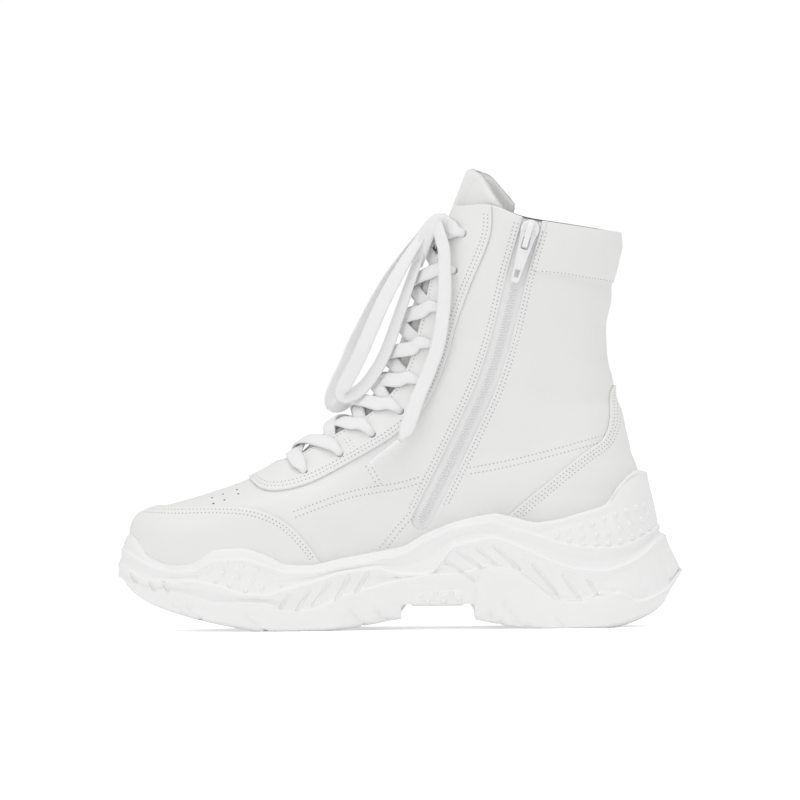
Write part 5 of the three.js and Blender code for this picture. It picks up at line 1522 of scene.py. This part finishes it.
def at_hinge(across, down, out):
    across, down, out = (np.asarray(c, float)[..., None] for c in np.broadcast_arrays(across, down, out))
    return HINGE + HINGE_ACROSS * across + HINGE_DOWN * down + HINGE_OUT * out


def tapered(rows):
    """A closed outline that is the same on both sides, from rows of how far down and half the width."""
    rows = np.array(rows, float)
    return np.concatenate([rows[:, ::-1], rows[::-1, ::-1] * [-1, 1]])


PULL_OUTLINE = tapered([
    (-1.0, 1.8), (-0.8, 2.8), (-0.1, 3.5), (0.8, 3.75), (2.5, 3.8), (8, 3.4), (12, 3.1), (18, 2.65),
    (24, 2.25), (25.3, 2.0), (25.9, 1.5), (26.1, 0.9),
])
PULL_WINDOW = tapered([(0.95, 1.5), (1.25, 1.9), (7.3, 2.05), (7.8, 1.7)])
PULL_PANEL = tapered([(9.2, 2.1), (9.6, 2.4), (17.4, 1.85), (17.8, 1.55)])
PULL_SLOT = tapered([(19.1, 1.2), (19.4, 1.45), (22.9, 1.15), (23.2, 0.9)])
slider_turn = np.linspace(0.35, -math.pi - 0.35, 30)
SLIDER_OUTLINE = np.concatenate([
    np.stack([5.0 * np.cos(slider_turn), -3.3 + 5.0 * np.sin(slider_turn)], -1),
    [(-3.9, 2.5), (-3.4, 6.6), (-2.6, 7.4), (2.6, 7.4), (3.4, 6.6), (3.9, 2.5)],
])


def pull_field(across, down):
    gap = distance_in(PULL_OUTLINE, across, down)
    for opening in (PULL_WINDOW, PULL_SLOT):
        gap = np.minimum(gap, -distance_in(opening, across, down))
    return gap


def on_pull(across, down, offset):
    """The pull has a raised rim, and a raised line round its bare panel."""
    offset = np.asarray(offset, float)
    rim = 0.22 * (1 - smooth((pull_field(across, down) - 0.35) / 0.35))
    line = 0.22 * np.exp(-((distance_in(PULL_PANEL, across, down) / 0.25) ** 2))
    return at_hinge(across, down, np.where(offset > 0, offset + np.maximum(rim, line), offset))


FINE = 0.22
pieces["zip_pull"] = panel(
    "pull_tab_frame", on_pull, pull_field, np.arange(-4.6, 4.7, FINE), np.arange(-2.2, 27.2, FINE),
    0.5, -0.65, roll=0.18, steps=2)
BRIDGE = [  # how far down, how far out, and how far it leans
    (-7.1, -1.8, -0.9), (-6.9, 0.0, -0.8), (-5.6, 1.6, -0.4), (-3, 2.1, -0.05), (0, 2.15, 0), (3, 2.1, 0.05),
    (5.3, 1.6, 0.4), (6.3, 0.3, 0.8), (6.4, -1.8, 0.9),
]
bridge_rows = [
    [*at_hinge(0, down, out), *(HINGE_DOWN * lean + HINGE_OUT * (1 - abs(lean)))]
    for down, out, lean in BRIDGE
]
bridge_vertices, bridge_faces, _ = lace_mesh(*smooth_route(bridge_rows, 0.5), 2.9, 1.1)
pieces["slider_bridge"] = mesh_object("slider_bridge", bridge_vertices, bridge_faces)
pieces["zip_slider"] = panel(
    "slider_plate", at_hinge, lambda across, down: distance_in(SLIDER_OUTLINE, across, down),
    np.arange(-5.6, 5.7, 2 * FINE), np.arange(-9.2, 8.4, 2 * FINE), -1.25, -2.9, roll=0.9, steps=4)

# %% [markdown]
# ## Stitches
# Most seams are sewn in two rows. A stitch is a short thread that bites into a needle hole at both ends, so
# the modelled stitch is a thin capsule that is half sunk. Between it and the next lies a small flat grey
# disc, painted shade that stands for the needle hole.
# The rows follow the panels' own outlines, so no row wanders off its edge.

# %% Rows of stitches
STITCH_PITCH = 2.1
thread_places, thread_normals, thread_tangents, hole_places, hole_normals = [], [], [], [], []
THREAD_SHAPE = bar_shape(
    [(-0.82, 0.05, -0.3), (-0.45, 0.23, -0.03), (0.45, 0.23, -0.03), (0.82, 0.05, -0.3)], 6)


def sew(line, height, place=on_upper):
    """Stitches along a line of parameters on a surface, at a height above it."""
    line = np.asarray(line, float)
    points = place(line[:, 0], line[:, 1], np.full(len(line), height))
    run = run_along(points)
    count = int(run[-1] / STITCH_PITCH)
    if count < 2:
        return
    marks = (np.arange(count) + 0.5) * run[-1] / count
    for offset, is_hole in ((0.0, False), (0.5 * run[-1] / count, True)):
        at = np.clip(marks + offset, 0, run[-1])
        where = np.stack([np.interp(at, run, points[:, c]) for c in range(3)], -1)
        ahead = np.stack([np.interp(np.minimum(at + 0.8, run[-1]), run, points[:, c]) for c in range(3)], -1)
        behind = np.stack([np.interp(np.maximum(at - 0.8, 0), run, points[:, c]) for c in range(3)], -1)
        u = np.interp(at, run, line[:, 0])
        v = np.interp(at, run, line[:, 1])
        normals = last_normal(u, v)
        if is_hole:
            hole_places.append(where)
            hole_normals.append(normals)
        else:
            thread_places.append(where)
            thread_normals.append(normals)
            thread_tangents.append(unit(ahead - behind))


SHORTEST_ROW = 12


def sew_inside(field, us, vs, insets, height, keep, place=on_upper):
    """Rows inside a panel's outline, where keep(points, line) holds."""
    for inset in insets:
        for line in contour(place, field, us, vs, inset):
            points = last_point(line[:, 0], line[:, 1])
            if run_along(points)[-1] <= SHORTEST_ROW:
                continue
            wanted = keep(points, line)
            start = None
            for i in range(len(line) + 1):
                if i < len(line) and wanted[i]:
                    start = i if start is None else start
                elif start is not None:
                    if i - start > 5:
                        sew(line[start:i], height, place)
                    start = None


def above_sole(points):
    return points[:, 2] > bed_height(at_x(points[:, 0])) + CUP_HEIGHT * TOP(at_x(points[:, 0])) + 1


SEW_CELL = 2.2
sew_inside(toe_cap_field, around_steps(-0.3, 0.3, SEW_CELL), level_steps(0, 0.3, SEW_CELL), (1.9, 3.7),
           OVERLAY_TOP, lambda p, line: above_sole(p))
sew_inside(counter_field, around_steps(0.15, 0.85, SEW_CELL), level_steps(0, 0.7, SEW_CELL), (1.7, 3.4, 5.1),
           OVERLAY_TOP, lambda p, line: above_sole(p))


def on_dressed(around, level, offset):
    """The outer surface beside the zip, where the cuff lies on the leather."""
    covered = cuff_field(around, level) > 0
    return on_upper(around, level, offset + np.where(covered, CUFF_TOP + cuff_rise(around, level), 0))


def under_top(p, line):
    return line[:, 1] < 0.985


sew_inside(facing_edge, around_steps(-0.36, 0.36, SEW_CELL), level_steps(0.3, 1.0, SEW_CELL), (1.9, 3.8),
           OVERLAY_TOP, under_top)
sew_inside(throat_gap, around_steps(-0.36, 0.36, SEW_CELL), level_steps(0.4, 1.0, SEW_CELL), (1.8,),
           OVERLAY_TOP, under_top)
sew_inside(zip_gap, around_steps(0.1, 0.4, SEW_CELL), level_steps(0.15, 1.0, SEW_CELL), (1.6, 3.6), 0.0,
           lambda p, line: under_top(p, line) & above_sole(p) & (line[:, 0] > 0.05), on_dressed)
sew_inside(cuff_edge, around_steps(0.12, 0.88, SEW_CELL), level_steps(0.75, 1.0, SEW_CELL), (1.0,), CUFF_TOP,
           lambda p, line: under_top(p, line) & (zip_gap(line[:, 0], line[:, 1]) > 4.5), on_cuff)

# Seams that are no panel's edge: side panel, strip, and the seam across the back of the shaft.
MEDIAL, LATERAL = 1, -1
OPEN_SEAMS = [  # the line in the picture, the rows beside it, height, sides of the shoe
    ([(290, 511), (305, 505.5), (350, 490), (400, 481), (418, 476)], (0.0, 3.2), 0.0, (MEDIAL, LATERAL)),
    ([(420, 475.5), (440, 471.5), (464, 467.5)], (0.0, 3.2), 0.0, (LATERAL,)),
    ([(416, 512), (400, 529), (384, 549)], (0.0, 3.0), 0.0, (MEDIAL,)),
    ([(466, 467), (500, 461), (550, 449), (604, 434)], (0.0, 3.2), 0.0, (MEDIAL, LATERAL)),
    ([(368, 459), (375, 471), (381, 482)], (0.0, 2.4), 0.0, (MEDIAL, LATERAL)),
    ([(347, 433), (353, 443), (359, 452)], (0.0, 2.2), OVERLAY_TOP, (MEDIAL, LATERAL)),
]
for pixels, shifts, height, sides in OPEN_SEAMS:
    x, z = from_picture(pixels)
    line = smooth_line(np.stack([x, z], -1))
    tangent = unit(np.gradient(line, axis=0))
    for shift in shifts:
        row = line + np.stack([tangent[:, 1], -tangent[:, 0]], -1) * shift
        for side in sides:
            around, level = place_in_side_view(row[:, 0], row[:, 1], side)
            sew(np.stack([around, level], -1), height)

pieces["stitches"] = mesh_object("stitches", *set_on(
    np.concatenate(thread_places), np.concatenate(thread_normals), THREAD_SHAPE,
    np.concatenate(thread_tangents)))
# Flat grey discs between the stitches are painted shade that stands for the needle holes.
pieces["needle_holes"] = mesh_object("needle_holes", *set_on(
    np.concatenate(hole_places), np.concatenate(hole_normals), dome(0.4, 0.08, sides=8, rows=1)))
print("stitches:", sum(map(len, thread_places)))

# The perforations are flat near-black discs on uncut leather: painted shade that stands for punched holes.
both_around = np.concatenate([hole_around, -hole_around])
both_level = np.concatenate([hole_level, hole_level])
pieces["perforations"] = mesh_object("perforations", *set_on(
    on_upper(both_around, both_level, np.full(len(both_around), -0.02)), last_normal(both_around, both_level),
    dome(HOLE_RADIUS, 0.07, sides=14, rows=1)))

# %% [markdown]
# ## Materials
# The shoe is white all over, so its materials differ in gloss, grain and a breath of warmth. Smooth leather
# has a fine grain and a soft gloss; the rubber is duller with a faint mottling; lace and tape show their
# weave. Each is a node tree on object coordinates, or on the lace's own uv where a weave follows it.

# %% Node helpers
def material(name, color, roughness, **sockets):
    made = bpy.data.materials.new(name)
    made.use_nodes = True
    shader = made.node_tree.nodes["Principled BSDF"]
    shader.inputs["Base Color"].default_value = (*color, 1)
    shader.inputs["Roughness"].default_value = roughness
    for socket, value in sockets.items():
        shader.inputs[socket.replace("_", " ")].default_value = value
    return made


def add_node(made, kind, links=(), **settings):
    """A new node; links are (input, output socket) and settings are its inputs or properties."""
    node = made.node_tree.nodes.new(kind)
    for key, value in settings.items():
        if hasattr(node, key):
            setattr(node, key, value)
        else:
            node.inputs[key.replace("_", " ")].default_value = value
    for socket, source in links:
        made.node_tree.links.new(node.inputs[socket], source)
    return node


def mottled(made, scale, color_low, color_high, rough_low, rough_high, coordinates):
    """Slow variation of colour and roughness."""
    tree = made.node_tree
    noise = add_node(made, "ShaderNodeTexNoise", [("Vector", coordinates)], Scale=scale, Detail=4.0)
    colors = add_node(made, "ShaderNodeValToRGB", [("Fac", noise.outputs["Fac"])])
    colors.color_ramp.elements[0].position, colors.color_ramp.elements[1].position = 0.3, 0.7
    colors.color_ramp.elements[0].color = (*color_low, 1)
    colors.color_ramp.elements[1].color = (*color_high, 1)
    rough = add_node(
        made, "ShaderNodeMapRange", [("Value", noise.outputs["Fac"])], To_Min=rough_low, To_Max=rough_high)
    shader = tree.nodes["Principled BSDF"]
    tree.links.new(shader.inputs["Base Color"], colors.outputs["Color"])
    tree.links.new(shader.inputs["Roughness"], rough.outputs["Result"])


def bumped(made, heights, strength, distance):
    """Adds bump from (height output, share) pairs."""
    tree = made.node_tree
    total = None
    for output, share in heights:
        scaled = add_node(made, "ShaderNodeMath", [(0, output)], operation="MULTIPLY")
        scaled.inputs[1].default_value = share
        if total is None:
            total = scaled
        else:
            both = [(0, total.outputs[0]), (1, scaled.outputs[0])]
            total = add_node(made, "ShaderNodeMath", both, operation="ADD")
    bump = add_node(
        made, "ShaderNodeBump", [("Height", total.outputs[0])], Strength=strength, Distance=distance)
    tree.links.new(tree.nodes["Principled BSDF"].inputs["Normal"], bump.outputs["Normal"])


def object_coordinates(made):
    return add_node(made, "ShaderNodeTexCoord").outputs["Object"]


def leather(name, tint, grain, roughness):
    """Smooth coated leather: fine pebbles, finer pores, and a slow change of gloss."""
    made = material(name, tint, roughness)
    coordinates = object_coordinates(made)
    low = tuple(c * 0.985 for c in tint)
    mottled(made, 35.0, low, tint, roughness - 0.05, roughness + 0.06, coordinates)
    pebbles = add_node(
        made, "ShaderNodeTexVoronoi", [("Vector", coordinates)], Scale=grain, feature="SMOOTH_F1")
    pores = add_node(made, "ShaderNodeTexNoise", [("Vector", coordinates)], Scale=grain * 2.6, Detail=3.0)
    slow = add_node(made, "ShaderNodeTexNoise", [("Vector", coordinates)], Scale=70.0, Detail=2.0)
    heights = [(pebbles.outputs["Distance"], 0.5), (pores.outputs["Fac"], 0.4), (slow.outputs["Fac"], 1.6)]
    bumped(made, heights, 0.35, 0.00022)
    return made


def woven(name, tint, across, along, coordinates_name="UV", roughness=0.85, strength=0.5):
    """A herringbone weave: two sets of slanting ribs that meet, with threads in them and painted shade in
    hollows.
    """
    made = material(name, tint, roughness, Sheen_Weight=0.25, Sheen_Roughness=0.5)
    coordinates = add_node(made, "ShaderNodeTexCoord").outputs[coordinates_name]
    mapping = add_node(made, "ShaderNodeMapping", [("Vector", coordinates)])
    mapping.inputs["Scale"].default_value = (along, across, across)
    slant = []
    for turn in (0.8, -0.8):
        turned = add_node(made, "ShaderNodeMapping", [("Vector", mapping.outputs["Vector"])])
        turned.inputs["Rotation"].default_value = (0, 0, turn)
        wave = add_node(made, "ShaderNodeTexWave", [("Vector", turned.outputs["Vector"])], Scale=1.0,
                        Distortion=0.5, Detail=1.0)
        slant.append(wave.outputs["Fac"])
    fibre = add_node(
        made, "ShaderNodeTexNoise", [("Vector", mapping.outputs["Vector"])], Scale=12.0, Detail=3.0)
    both = add_node(made, "ShaderNodeMath", [(0, slant[0]), (1, slant[1])], operation="MAXIMUM")
    # The colour follows the ribs' height and is 7% darker where it is low: painted shade in the weave's
    # hollows.
    shade = add_node(made, "ShaderNodeValToRGB", [("Fac", both.outputs[0])])
    shade.color_ramp.elements[0].color = (*(c * 0.93 for c in tint), 1)
    shade.color_ramp.elements[1].color = (*tint, 1)
    shader = made.node_tree.nodes["Principled BSDF"]
    made.node_tree.links.new(shader.inputs["Base Color"], shade.outputs["Color"])
    bumped(made, [(both.outputs[0], 1.0), (fibre.outputs["Fac"], 0.4)], strength, 0.00022)
    return made


# %% The shoe's finishes
def rubber(name, tint, roughness, grain):
    """Rubber, foam, nylon, paint or the painted shade of holes: a fine grain, a slow swell and a change of
    gloss.
    """
    made = material(name, tint, roughness)
    coordinates = object_coordinates(made)
    mottled(made, 60.0, tuple(c * 0.985 for c in tint), tint, roughness - 0.04, roughness + 0.06, coordinates)
    fine = add_node(made, "ShaderNodeTexNoise", [("Vector", coordinates)], Scale=grain, Detail=3.0)
    slow = add_node(made, "ShaderNodeTexNoise", [("Vector", coordinates)], Scale=90.0)
    bumped(made, [(fine.outputs["Fac"], 0.4), (slow.outputs["Fac"], 1.0)], 0.25, 0.0002)
    return made


WHITE_LEATHER = leather("white_leather", (0.86, 0.858, 0.852), 1100.0, 0.42)
PANEL_LEATHER = leather("panel_leather", (0.87, 0.868, 0.862), 900.0, 0.38)
CUFF_LEATHER = leather("cuff_leather", (0.865, 0.863, 0.857), 700.0, 0.46)
LINING = leather("lining_leather", (0.88, 0.876, 0.868), 1400.0, 0.6)
LACE_WEAVE = woven("lace_weave", (0.93, 0.93, 0.93), 0.42, 0.42)
TAPE_WEAVE = woven("tape_weave", (0.87, 0.87, 0.875), 0.6, 0.6, strength=0.3)
THREAD = woven("sewing_thread", (0.93, 0.93, 0.925), 620.0, 620.0, "Object", 0.7, 0.1)
PADDING = woven("insole_cloth", (0.88, 0.88, 0.875), 320.0, 320.0, "Object", 0.9)
FOAM = rubber("moulded_foam", (0.91, 0.91, 0.905), 0.55, 1500.0)
TREAD_RUBBER = rubber("tread_rubber", (0.915, 0.915, 0.91), 0.62, 1900.0)
NYLON = rubber("white_nylon", (0.90, 0.90, 0.91), 0.32, 2500.0)
PAINTED_METAL = rubber("painted_metal", (0.91, 0.91, 0.92), 0.22, 3200.0)
# Grey paint for the discs at the needle holes: painted shade, not a colour of the leather.
NEEDLE_SHADE = rubber("needle_hole", (0.5, 0.5, 0.51), 0.9, 2000.0)
# Near-black paint for the perforation discs: painted shade of the holes.
PUNCHED_SHADE = rubber("punched_hole", (0.10, 0.10, 0.11), 0.9, 2000.0)

FINISH = {
    "upper": WHITE_LEATHER, "toe_cap": PANEL_LEATHER, "heel_counter": PANEL_LEATHER, "eyestay": PANEL_LEATHER,
    "collar": CUFF_LEATHER, "lining": LINING, "tongue": WHITE_LEATHER, "insole": PADDING,
    "lace_loop_medial": LACE_WEAVE, "lace_loop_lateral": LACE_WEAVE, "lace_end_medial": LACE_WEAVE,
    "lace_end_lateral": LACE_WEAVE, "lace_knot": LACE_WEAVE, "lace_crossings": LACE_WEAVE,
    "aglet_medial": NYLON, "aglet_lateral": NYLON, "zip_tape": TAPE_WEAVE, "zip_teeth": NYLON,
    "sole_wall": FOAM, "sole_core": FOAM, "tread": TREAD_RUBBER, "arch_pod": FOAM, "pips": FOAM,
    "pod_pips": FOAM, "slider_bridge": PAINTED_METAL, "zip_slider": PAINTED_METAL, "zip_pull": PAINTED_METAL,
    "stitches": THREAD, "needle_holes": NEEDLE_SHADE, "perforations": PUNCHED_SHADE,
}
for key, piece in pieces.items():
    piece.data.materials.clear()
    piece.data.materials.append(FINISH[key])
    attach(piece, "pull_tab" if key == "zip_pull" else "shoe")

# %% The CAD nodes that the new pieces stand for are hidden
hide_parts("upper")
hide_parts("toe_cap")
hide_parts("heel_counter")
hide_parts("eyestay")
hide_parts("collar")
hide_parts("tongue")
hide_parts("insole")
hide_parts("lace_crossings")
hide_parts("zip_chain")
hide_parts("zip_slider")
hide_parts("zip_pull")
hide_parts("midsole")
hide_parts("outsole_forefoot", "outsole_heel")
for name in [*BOW, "lace_knot", *AGLET_ENDS]:
    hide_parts(name)
for piece, points, length in cords:
    side = piece.name.rsplit("_", 1)[1]

# %% [markdown]
# ## The studio
# White on white needs soft light and a plain surround that fills the shadows. Most of the light comes from
# the surround, with a large softbox overhead and a smaller one at the front left. The floor is a white sheet
# that is brightened for the camera only, so that it throws little light up at the shoe.

# %% Floor, surround and lights
bpy.ops.mesh.primitive_plane_add(size=14, location=(0, 0, -1e-4))
floor = bpy.context.object
floor.name = "studio_floor"
pale_floor = material("pale_floor", (0.95, 0.95, 0.95), 0.95)
pale_floor.node_tree.nodes["Principled BSDF"].inputs["Emission Color"].default_value = (1, 1, 1, 1)
FLOOR_LIGHT, FLOOR_SEEN = 0.10, 0.5
floor_path = add_node(pale_floor, "ShaderNodeLightPath")
floor_strength = add_node(pale_floor, "ShaderNodeMapRange", [("Value", floor_path.outputs["Is Camera Ray"])],
                          To_Min=FLOOR_LIGHT, To_Max=FLOOR_SEEN)
floor_shader = pale_floor.node_tree.nodes["Principled BSDF"]
pale_floor.node_tree.links.new(floor_shader.inputs["Emission Strength"], floor_strength.outputs["Result"])
floor.data.materials.append(pale_floor)
bpy.ops.object.select_all(action="DESELECT")
world = bpy.data.worlds.new("surround")
bpy.context.scene.world = world
world.use_nodes = True
surround = world.node_tree.nodes["Background"]
surround.inputs["Color"].default_value = (1, 1, 1, 1)
SURROUND_LIGHT, SURROUND_SEEN = 0.72, 1.02
path = world.node_tree.nodes.new("ShaderNodeLightPath")
strength = world.node_tree.nodes.new("ShaderNodeMapRange")
strength.inputs["To Min"].default_value = SURROUND_LIGHT
strength.inputs["To Max"].default_value = SURROUND_SEEN
world.node_tree.links.new(strength.inputs["Value"], path.outputs["Is Camera Ray"])
world.node_tree.links.new(surround.inputs["Strength"], strength.outputs["Result"])


def softbox(name, place, aim, size, power):
    data = bpy.data.lights.new(name, "AREA")
    data.shape, data.size, data.energy = "DISK", size, power
    lamp = bpy.data.objects.new(name, data)
    bpy.context.scene.collection.objects.link(lamp)
    lamp.location = place
    lamp.rotation_euler = (Vector(aim) - Vector(place)).to_track_quat("-Z", "Y").to_euler()
    return lamp


softbox("overhead", (0.1, -0.4, 1.9), (0, 0, 0.1), 1.0, 8)
softbox("front_left", (-1.3, -1.7, 1.0), (0, 0, 0.1), 0.8, 3)
view = bpy.context.scene.view_settings
view.view_transform = "Standard"
